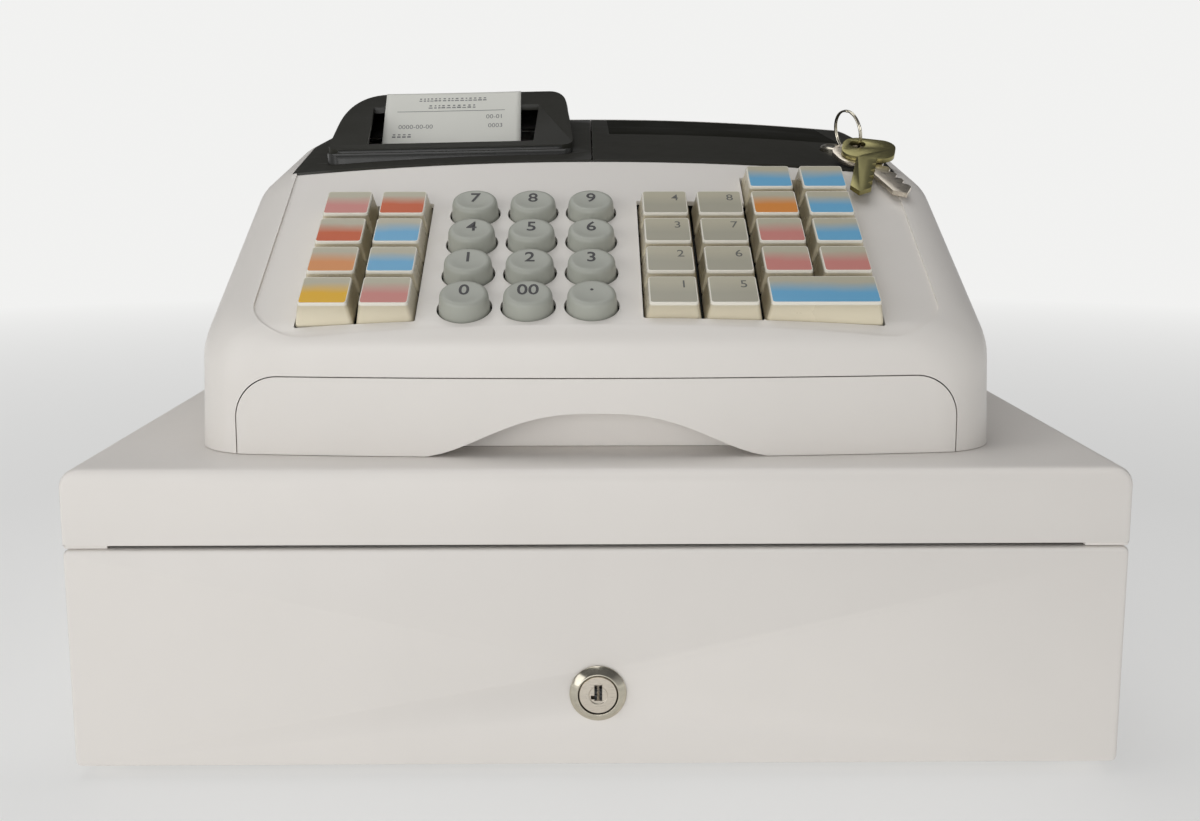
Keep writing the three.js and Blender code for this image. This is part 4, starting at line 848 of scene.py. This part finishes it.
# How deep the hood's root reaches into the band, so that the two join
ROOT = 0.06
WALL_FRONT = LIP_FRONT + LIP_DEPTH
FACE_START = WALL_FRONT + FACE_ROUND
FACE_RISE = (HOOD_TOP - FACE_Z) / (CREST - FACE_START)
LEAN_WITH_BAND = (Matrix.Translation((HOOD_CENTRE, 0, HOOD_TOP))
                  @ Matrix.Rotation(-HOOD_TILT, 4, "Y")
                  @ Matrix.Translation((-HOOD_CENTRE, 0, -HOOD_TOP)))
# Turns an outline drawn in Y and Z into a prism that runs along X.
ACROSS = Matrix(((0, 0, 1, 0), (1, 0, 0, 0), (0, 1, 0, 0), (0, 0, 0, 1)))
MOUTH = [(-88.5, 141.5), (-23.8, 141.5), (-22.8, 189), (-92.2, 189)]
# Where the band is split between the cover and the bezel
SPLIT = -1


def bend(start, control, end, steps=10):
    """Points of a curve from one point towards another, without the first."""
    points = []
    for k in range(1, steps + 1):
        t = k / steps
        points.append(tuple(a * (1 - t) ** 2 + 2 * c * t * (1 - t) + b * t ** 2
                            for a, c, b in zip(start, control, end)))
    return points


def hood_front_view(margin):
    """The hood's outline in X and Z, drawn in by a margin."""
    left, right, top = HOOD_LEFT + margin, HOOD_RIGHT - margin, HOOD_TOP - margin
    inner = right - HOOD_RIGHT_LEAN
    points = [(left, HOOD_FOOT), (right, HOOD_FOOT), (right, HOOD_RIGHT_FOOT),
              (inner, top - HOOD_RIGHT_DROP)]
    points += bend(points[-1], (inner, top), (inner - HOOD_RIGHT_ROUND, top))
    points.append((left + HOOD_LEFT_ROUND, top))
    points += bend(points[-1], (left, top), (left, top - HOOD_LEFT_DROP), 14)
    return points


def hood_side_view(margin):
    """The hood's outline in Y and Z, drawn in by a margin."""
    front, rear, top = WALL_FRONT + margin, HOOD_REAR - margin, HOOD_TOP - margin
    face, crest = FACE_Z - margin, CREST - CREST_ROUND
    points = [(front, HOOD_FOOT), (front, face - FACE_ROUND)]
    points += bend(points[-1], (front, face), (FACE_START + margin, face + margin * FACE_RISE))
    points.append((crest, top - CREST_ROUND * FACE_RISE))
    points += bend(points[-1], (CREST, top), (CREST + CREST_ROUND, top))
    points += bend(points[-1], (rear, top), (rear, top - REAR_DROP))
    points.append((rear, HOOD_FOOT))
    return points


def hood_plan(margin, front):
    outline = rounded_box(HOOD_LEFT + margin, HOOD_RIGHT - margin, front + margin,
                          HOOD_REAR - margin, (HOOD_CORNER - margin,) * 4, 10)
    return block(outline, HOOD_FOOT, BAND_HIGH)


def leaned(piece):
    """Leans a piece sideways with the crowned band."""
    piece.data.transform(HEAD_FRAME @ LEAN_WITH_BAND @ HEAD_FRAME.inverted())
    return piece


def hood_body(margin):
    start = HOOD_REAR + HOOD_OVERRUN
    front = Matrix.Translation((0, start, 0)) @ QUARTER_TURN
    body = block(hood_front_view(margin), 0, start - LIP_FRONT, front)
    csg(body, block(hood_side_view(margin), *HOOD_SPAN, ACROSS), "INTERSECT")
    csg(body, hood_plan(margin, WALL_FRONT), "INTERSECT")
    return leaned(body)


def hood_lip():
    outline = [(LIP_FRONT, HOOD_FOOT), (LIP_FRONT, LIP_TOP - LIP_ROUND)]
    outline += bend(outline[-1], (LIP_FRONT, LIP_TOP), (LIP_FRONT + LIP_ROUND, LIP_TOP), 12)
    outline += [(WALL_FRONT + LIP_OVERLAP, LIP_TOP), (WALL_FRONT + LIP_OVERLAP, HOOD_FOOT)]
    lip = block(outline, *HOOD_SPAN, ACROSS)
    return leaned(csg(lip, hood_plan(0, LIP_FRONT), "INTERSECT"))


def band_skin(left, right):
    skin = csg(head_body(0, PLAY), head_body(BAND_THICK, 0))
    return csg(skin, block(band_outline(0, left, right), BAND_LOW, BAND_HIGH), "INTERSECT")


def keep_largest(piece):
    """Cuts along a surface can leave flakes: only the largest island stays."""
    bm = bmesh.new()
    bm.from_mesh(piece.data)
    left, islands = set(bm.verts), []
    while left:
        front = [left.pop()]
        island = list(front)
        while front:
            near = [edge.other_vert(vert) for vert in front for edge in vert.link_edges]
            front = [vert for vert in set(near) if vert in left]
            left.difference_update(front)
            island += front
        islands.append(island)
    islands.sort(key=len)
    bmesh.ops.delete(bm, geom=[vert for island in islands[:-1] for vert in island])
    bm.to_mesh(piece.data)
    bm.free()
    return piece


def keep_band(piece, name, body, node, bevel):
    coat(piece, BLACK)
    weld(piece)
    round_edges(piece, bevel, 3, SHARP)
    keep(piece, name, body, node)


def polish_lip(cover):
    """Fingers lift the cover by its lip, so the lip is worn glossy."""
    cover.data.materials.append(POLISHED)
    back = (HEAD_FRAME @ LEAN_WITH_BAND).inverted()
    for polygon in cover.data.polygons:
        place = back @ polygon.center
        if LIP_FRONT - 0.3 < place.y < WALL_FRONT + 0.2 and polygon.normal.z < LIP_NORMAL:
            polygon.material_index = 1


def make_printer_cover():
    outer = csg(hood_body(0), hood_lip(), "UNION")
    csg(outer, head_body(BAND_THICK - ROOT, 0))
    cover = csg(band_skin(-FAR, SPLIT - PLAY), outer, "UNION")
    csg(cover, hood_body(HOOD_WALL))
    csg(cover, block(MOUTH, LIP_TOP, BAND_HIGH))
    keep_band(keep_largest(cover), "printer_hood", "printer_cover", "printer_cover", 0.4)
    polish_lip(cover)


LOCK_SLEEVE, LOCK_BORE = 10.1, 7.85
SLEEVE_SPAN, BORE_SPAN = (-13.75, -1.25), (-16, 14)
LOCK_PLACE = Vector((99, 159.99, 96.99))
# The lock stands square on the crowned band, which slopes by 10 degrees there.
LOCK_AXIS = Vector((2 * LOCK_PLACE.x / CROWN, -math.tan(math.radians(10)), 1)).normalized()
LOCK_FRAME = (Matrix.Translation(LOCK_PLACE)
              @ Vector((0, 0, 1)).rotation_difference(LOCK_AXIS).to_matrix().to_4x4())


# Amount window: its edges, its corners, the depth of its recess and the pane's play in it
WINDOW = (6.5, 101.5, 179.29, 245.79)
WINDOW_CORNER, WINDOW_DEPTH, PANE_PLAY, PANE_SINK, PANE_DEPTH = 1.5, 0.8, 0.12, 0.05, 0.78


def window_prism(play, corner):
    left, right, front, rear = WINDOW
    outline = rounded_box(left + play, right - play, front + play, rear - play,
                          (corner,) * 4, 6)
    return block(outline, BAND_LOW, BAND_HIGH)


def make_bezel():
    bezel = band_skin(SPLIT + PLAY, FAR)
    window = window_prism(0, WINDOW_CORNER)
    csg(window, head_body(WINDOW_DEPTH, 0))
    csg(bezel, window)
    csg(bezel, block(circle(LOCK_SLEEVE, ROUND_STEPS), *SLEEVE_SPAN, LOCK_FRAME), "UNION")
    csg(bezel, block(circle(LOCK_BORE, ROUND_STEPS), *BORE_SPAN, LOCK_FRAME))
    keep_band(bezel, "window_bezel", "register_body", "display_bezel", 0.3)


def make_window_pane():
    """The smoked pane that fills the bezel's recess."""
    pane = csg(head_body(PANE_SINK, 0), head_body(PANE_DEPTH, BELOW))
    csg(pane, window_prism(PANE_PLAY, WINDOW_CORNER - 0.1), "INTERSECT")
    coat(pane, SMOKED)
    round_edges(pane, 0.2, 2, SHARP)
    keep(pane, "smoked_window", "register_body", None)


make_printer_cover()
make_bezel()
make_window_pane()


# Receipt: a slightly curled strip with its printed lines
RECEIPT_HALF, RECEIPT_LOW, RECEIPT_HIGH = 29.2, -26.8, 7.2
RECEIPT_FACE, RECEIPT_CURL, CORNER_LIFT = 0.42, 0.009, 0.25
RECEIPT_THICK, PRINT_LIFT, MARK_PIECE = 0.1, 0.03, 3
RECEIPT_STEPS = (24, 30)
LEFT_TRIM, LEFT_LEAN = 0.9, 1.0
RECEIPT_X, RECEIPT_Y, RECEIPT_TURN = -1.3, 189, math.radians(51)
# Printed rows as height, start, end and size; figures as name, text and place
MARK_ROWS = ((3.3, -13.5, 13.5, 1.9), (-0.6, -9.5, 10.5, 1.9))
RULE = (-22.5, -3.25, 22.5, -2.95)
FOOT_MARKS = (-24.2, -22.1, -20.0, -17.9)
PRINTED = (("number", "00-01", 18.2, -6.6), ("date", "0000-00-00", -14.6, -11.4),
           ("count", "0003", 18.6, -11.4))
PRINTED_SIZE = 3.1
RECEIPT_Z = FACE_Z + (RECEIPT_Y - FACE_START) * FACE_RISE
RECEIPT_FRAME = (HEAD_FRAME @ LEAN_WITH_BAND
                 @ Matrix.Translation((HOOD_CENTRE + RECEIPT_X, RECEIPT_Y, RECEIPT_Z))
                 @ Matrix.Rotation(RECEIPT_TURN, 4, "X"))


def receipt_height(u, v):
    """The strip still keeps a little of the roll's curl, and its corners lift."""
    return (RECEIPT_FACE - RECEIPT_CURL * max(0, v) ** 2
            + CORNER_LIFT * (u / RECEIPT_HALF) ** 4)


def make_receipt():
    bm = bmesh.new()
    across, along = RECEIPT_STEPS
    grid = []
    for row in range(along + 1):
        v = RECEIPT_LOW + (RECEIPT_HIGH - RECEIPT_LOW) * row / along
        left = LEFT_TRIM + LEFT_LEAN * row / along - RECEIPT_HALF
        columns = [left + (RECEIPT_HALF - left) * k / across for k in range(across + 1)]
        grid.append([bm.verts.new((u, v, receipt_height(u, v))) for u in columns])
    for first, second in zip(grid, grid[1:]):
        for k in range(across):
            bm.faces.new((first[k], first[k + 1], second[k + 1], second[k]))
    move(bm, RECEIPT_FRAME)
    strip = finish_mesh("receipt_strip", bm, [PAPER], "printer_cover", "receipt_paper")
    sheet = strip.modifiers.new("sheet", "SOLIDIFY")
    sheet.thickness = RECEIPT_THICK * MM
    sheet.offset = -1


def receipt_marks():
    """Rows of small plain marks, a thin rule and four heavier marks at the lower left."""
    chance = random.Random(7)
    marks = []
    for v, start, end, tall in MARK_ROWS:
        u = start
        while u < end:
            wide = chance.uniform(0.9, 1.9)
            high = v - tall / 2 + tall * chance.uniform(0.25, 0.4)
            marks.append((u, v - tall / 2, u + wide, high))
            marks.append((u + 0.2 * wide, v + tall * 0.1, u + 0.85 * wide, v + tall * 0.45))
            u += wide + chance.uniform(0.35, 0.7)
    marks.append(RULE)
    for u in FOOT_MARKS:
        marks.append((u, -17.0, u + 1.5, -16.2))
        marks.append((u + 0.3, -15.7, u + 1.4, -15.1))
    return marks


def print_receipt():
    bm = bmesh.new()
    for left, low, right, high in receipt_marks():
        pieces = max(1, round((right - left) / MARK_PIECE))
        for k in range(pieces):
            a = left + (right - left) * k / pieces
            b = left + (right - left) * (k + 1) / pieces
            corners = box_outline(a, low, b, high)
            bm.faces.new([bm.verts.new((u, v, receipt_height(u, v) + PRINT_LIFT))
                          for u, v in corners])
    move(bm, RECEIPT_FRAME)
    finish_mesh("receipt_rows", bm, [FAINT_INK], "printer_cover", None, smooth=False)
    for name, text, u, v in PRINTED:
        add_figures("receipt_" + name, text, "printer_cover",
                    RECEIPT_FRAME @ Matrix.Translation((u, v, 0)), PRINTED_SIZE, FAINT_INK, 0,
                    lambda x, y, u=u, v=v: receipt_height(u + x, v + y) + PRINT_LIFT)


make_receipt()
print_receipt()


# Locks: turned profiles as radius and height, and slots as left, low, right and high
RIM_PROFILE = [(6.35, -13.5), (8.2, -13.5), (8.2, 0.1), (9.0, 0.1), (9.0, 0.5), (8.75, 0.8),
               (7.05, 2.25), (6.75, 2.42), (6.45, 2.42), (6.35, 2.3)]
PLUG_PROFILE = [(0, -13.5), (6.05, -13.5), (6.05, 2.0), (5.85, 2.25), (3.0, 2.3), (2.75, 2.05),
                (0, 2.05)]
PLUG_SLOTS = [(-1.2, -1.9, 1.3, 3.4), (-2.3, -1.4, -1.1, -0.2)]
MODE_PROFILE = [(0, -13), (7.6, -13), (7.6, 1.0), (7.3, 1.5), (6.5, 1.95), (6.2, 1.95),
                (5.9, 1.6), (5.4, 1.45), (3.2, 1.45), (3.0, 1.2), (0, 1.2)]
MODE_SLOT, POINTER = (-1.1, -3.2, 1.1, 3.2), (-0.35, 5.1, 0.35, 7.0)
SLOT_TOP, SLOT_DEPTH, POINTER_DEPTH = 4, -6, 1.0
LATHE_STEPS = 64
# The field that a keyway's pins fill, and the height of the upper ones
DRAWER_PINS = (-1.15, -1.85, 1.25, 1.7), 1.3
MODE_PINS = (-1.05, -3.15, 1.05, 3.15), 0.2
PIN_ROWS, PIN_WIDTH, PIN_LENGTH, PIN_STEP, PIN_DEPTH = 6, 0.34, 0.8, 0.37, 3


def lathe(profile):
    """A closed turned body about the local Z axis, through radius and height pairs."""
    bm = bmesh.new()
    rings = []
    for radius, height in profile:
        ring = circle(radius, LATHE_STEPS) if radius else [(0, 0)]
        rings.append([bm.verts.new((x, y, height)) for x, y in ring])
    for first, second in zip(rings, rings[1:] + rings[:1]):
        if len(first) == 1 and len(second) == 1:
            continue
        for k in range(LATHE_STEPS):
            j = (k + 1) % LATHE_STEPS
            face = [first[k % len(first)], first[j % len(first)],
                    second[j % len(second)], second[k % len(second)]]
            bm.faces.new(list(dict.fromkeys(face)))
    return bm


# Local Z points out of the drawer's front, local Y up.
DRAWER_LOCK = (Matrix.Translation((0, CABINET_FRONT * MM, 28 * MM))
               @ QUARTER_TURN @ Matrix.Scale(MM, 4))


def turned(place, profile):
    bm = lathe(profile)
    move(bm, HEAD_FRAME.inverted() @ place)
    return solid(bm)


def slot_tool(place, corners, depth):
    return block(box_outline(*corners), depth, SLOT_TOP, HEAD_FRAME.inverted() @ place)


def keep_metal(piece, name, body, node, material, bevel):
    coat(piece, material)
    round_edges(piece, bevel, 2, 24)
    keep(piece, name, body, node)


def keyway_core(name, body, place, corners, level):
    """The pins and wards deep in a keyway, every second one lower, black as painted shade."""
    left, low, right, high = corners
    bm = bmesh.new()
    across = (right - left) * PIN_WIDTH
    for k in range(PIN_ROWS):
        near = low + (high - low) * k / PIN_ROWS
        far = low + (high - low) * (k + PIN_LENGTH) / PIN_ROWS
        top = level - PIN_STEP * (k % 2)
        for x0, x1 in ((left, left + across), (right - across, right)):
            prism(bm, box_outline(x0, near, x1, far), level - PIN_DEPTH, top)
    move(bm, place)
    # The pins get black plastic as painted shade for the dark depth of the keyway.
    core = finish_mesh(name, bm, [BOARD], body, None)
    round_edges(core, 0.03, 2, 35)


def make_drawer_lock():
    rim = turned(DRAWER_LOCK, RIM_PROFILE)
    keep_metal(rim, "drawer_lock_ring", "drawer", "drawer_lock_rim", CHROME_WARM_REFLECTION, 0.06)
    plug = turned(DRAWER_LOCK, PLUG_PROFILE)
    for corners in PLUG_SLOTS:
        csg(plug, slot_tool(DRAWER_LOCK, corners, SLOT_DEPTH))
    keep_metal(plug, "drawer_lock_face", "drawer_lock", "drawer_lock_plug", SATIN, 0.05)
    keyway_core("drawer_keyway", "drawer_lock", DRAWER_LOCK, *DRAWER_PINS)


def make_mode_lock():
    place = HEAD_FRAME @ LOCK_FRAME
    face = turned(place, MODE_PROFILE)
    csg(face, slot_tool(place, MODE_SLOT, SLOT_DEPTH))
    csg(face, slot_tool(place, POINTER, POINTER_DEPTH))
    keep_metal(face, "mode_lock_face", "mode_lock", "mode_lock", CHROME_WARM_REFLECTION, 0.05)
    keyway_core("mode_keyway", "mode_lock", place, *MODE_PINS)


# Key ring: it stands in the keys' holes, square to the deck, with its middle raised
RING_RADIUS, RING_RAISED, RING_HOLE = 8, 4.2, (100.8, 127.5, -1.08)
RING_TURN, RING_START = math.radians(117), math.radians(60)
WIRE, WIRE_TURNS, WIRE_SHIFT, WIRE_STEPS, WIRE_SIDES = 0.4, 2.06, 0.43, 120, 10
RING_FRAME = (HEAD_FRAME @ DECK_FRAME @ Matrix.Translation(RING_HOLE)
              @ Matrix.Rotation(RING_TURN, 4, "Z")
              @ Matrix.Translation((math.sqrt(RING_RADIUS ** 2 - RING_RAISED ** 2), 0,
                                    RING_RAISED)))


def split_ring():
    """Two turns of thin wire side by side, with the ends pressed against them."""
    rings = []
    for k in range(WIRE_STEPS + 1):
        share = k / WIRE_STEPS
        angle = RING_START + 2 * math.pi * WIRE_TURNS * share
        out = Vector((math.cos(angle), 0, math.sin(angle)))
        middle = RING_RADIUS * out
        middle.y = WIRE_SHIFT * math.tanh(5 * (share - 0.5))
        rings.append([middle + u * out + v * Vector((0, 1, 0))
                      for u, v in circle(WIRE, WIRE_SIDES)])
    bm = loft(bmesh.new(), rings)
    move(bm, RING_FRAME)
    finish_mesh("split_ring", bm, [CHROME_WARM_REFLECTION], "key_ring", "key_ring")


make_drawer_lock()
make_mode_lock()
split_ring()


# Finishes of the CAD pieces that stay; this scene replaces all the others
FINISHES = {
    "cabinet_cover": CABINET, "drawer_front": CABINET,
    "cabinet_base": ZINC, "drawer_box": ZINC,
    "coin_note_tray": TRAY, "note_clip_1": CLIP, "note_clip_2": CLIP, "note_clip_3": CLIP,
    "lower_case": HOUSING_PAINTED_LIGHT, "print_unit": BLACK, "key_board": BOARD, "paper_roll": PAPER,
    "silver_key": SATIN, "brass_key": BRASS,
}


def dress(piece, material):
    """Gives a CAD piece its finish, with its flat facets merged and its edges rounded."""
    coat(piece, material)
    weld(piece)
    flat = piece.modifiers.new("flat", "DECIMATE")
    flat.decimate_type = "DISSOLVE"
    flat.angle_limit = math.radians(0.6)
    round_edges(piece, 0.25, 2, 30)


for node, material in FINISHES.items():
    dress(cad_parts[node], material)

# The cabinet's feet are moulded rubber, below its sheet floor.
FOOT_TOP, FOOT_EDGE = 4.2 * MM, 0.3 * MM
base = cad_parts["cabinet_base"]
base.data.materials.append(RUBBER)
for polygon in base.data.polygons:
    if polygon.center.z < FOOT_TOP - FOOT_EDGE and all(
            base.data.vertices[index].co.z < FOOT_TOP for index in polygon.vertices):
        polygon.material_index = 1


# Floor: it takes the shadow near the object, and fades into the white backdrop further off
FLOOR_SIZE, FLOOR_COLOR = 4, (0.90, 0.90, 0.89, 1)
FLOOR_FADE = (0.4, 1.6, 0.48, 1.0)


def add_floor():
    bm = bmesh.new()
    bmesh.ops.create_grid(bm, x_segments=2, y_segments=2, size=FLOOR_SIZE)
    floor = make_object("floor", bm)
    material, tree, shader = new_material("floor_sweep")
    put(shader, {"Base Color": FLOOR_COLOR, "Roughness": 0.6, "Specular IOR Level": 0.15})
    glow = add_node(tree, "Emission")
    put(glow, {"Color": BACKDROP_COLOR, "Strength": BACKDROP_GLOW})
    place = add_node(tree, "TexCoord")
    distance = add_node(tree, "VectorMath")
    distance.operation = "LENGTH"
    link(place.outputs["Object"], distance.inputs[0])
    share = spread(tree, distance.outputs["Value"], *FLOOR_FADE)
    out = next(node for node in tree.nodes if node.type == "OUTPUT_MATERIAL")
    blend(tree, share, shader, glow, out)
    floor.data.materials.append(material)


add_floor()
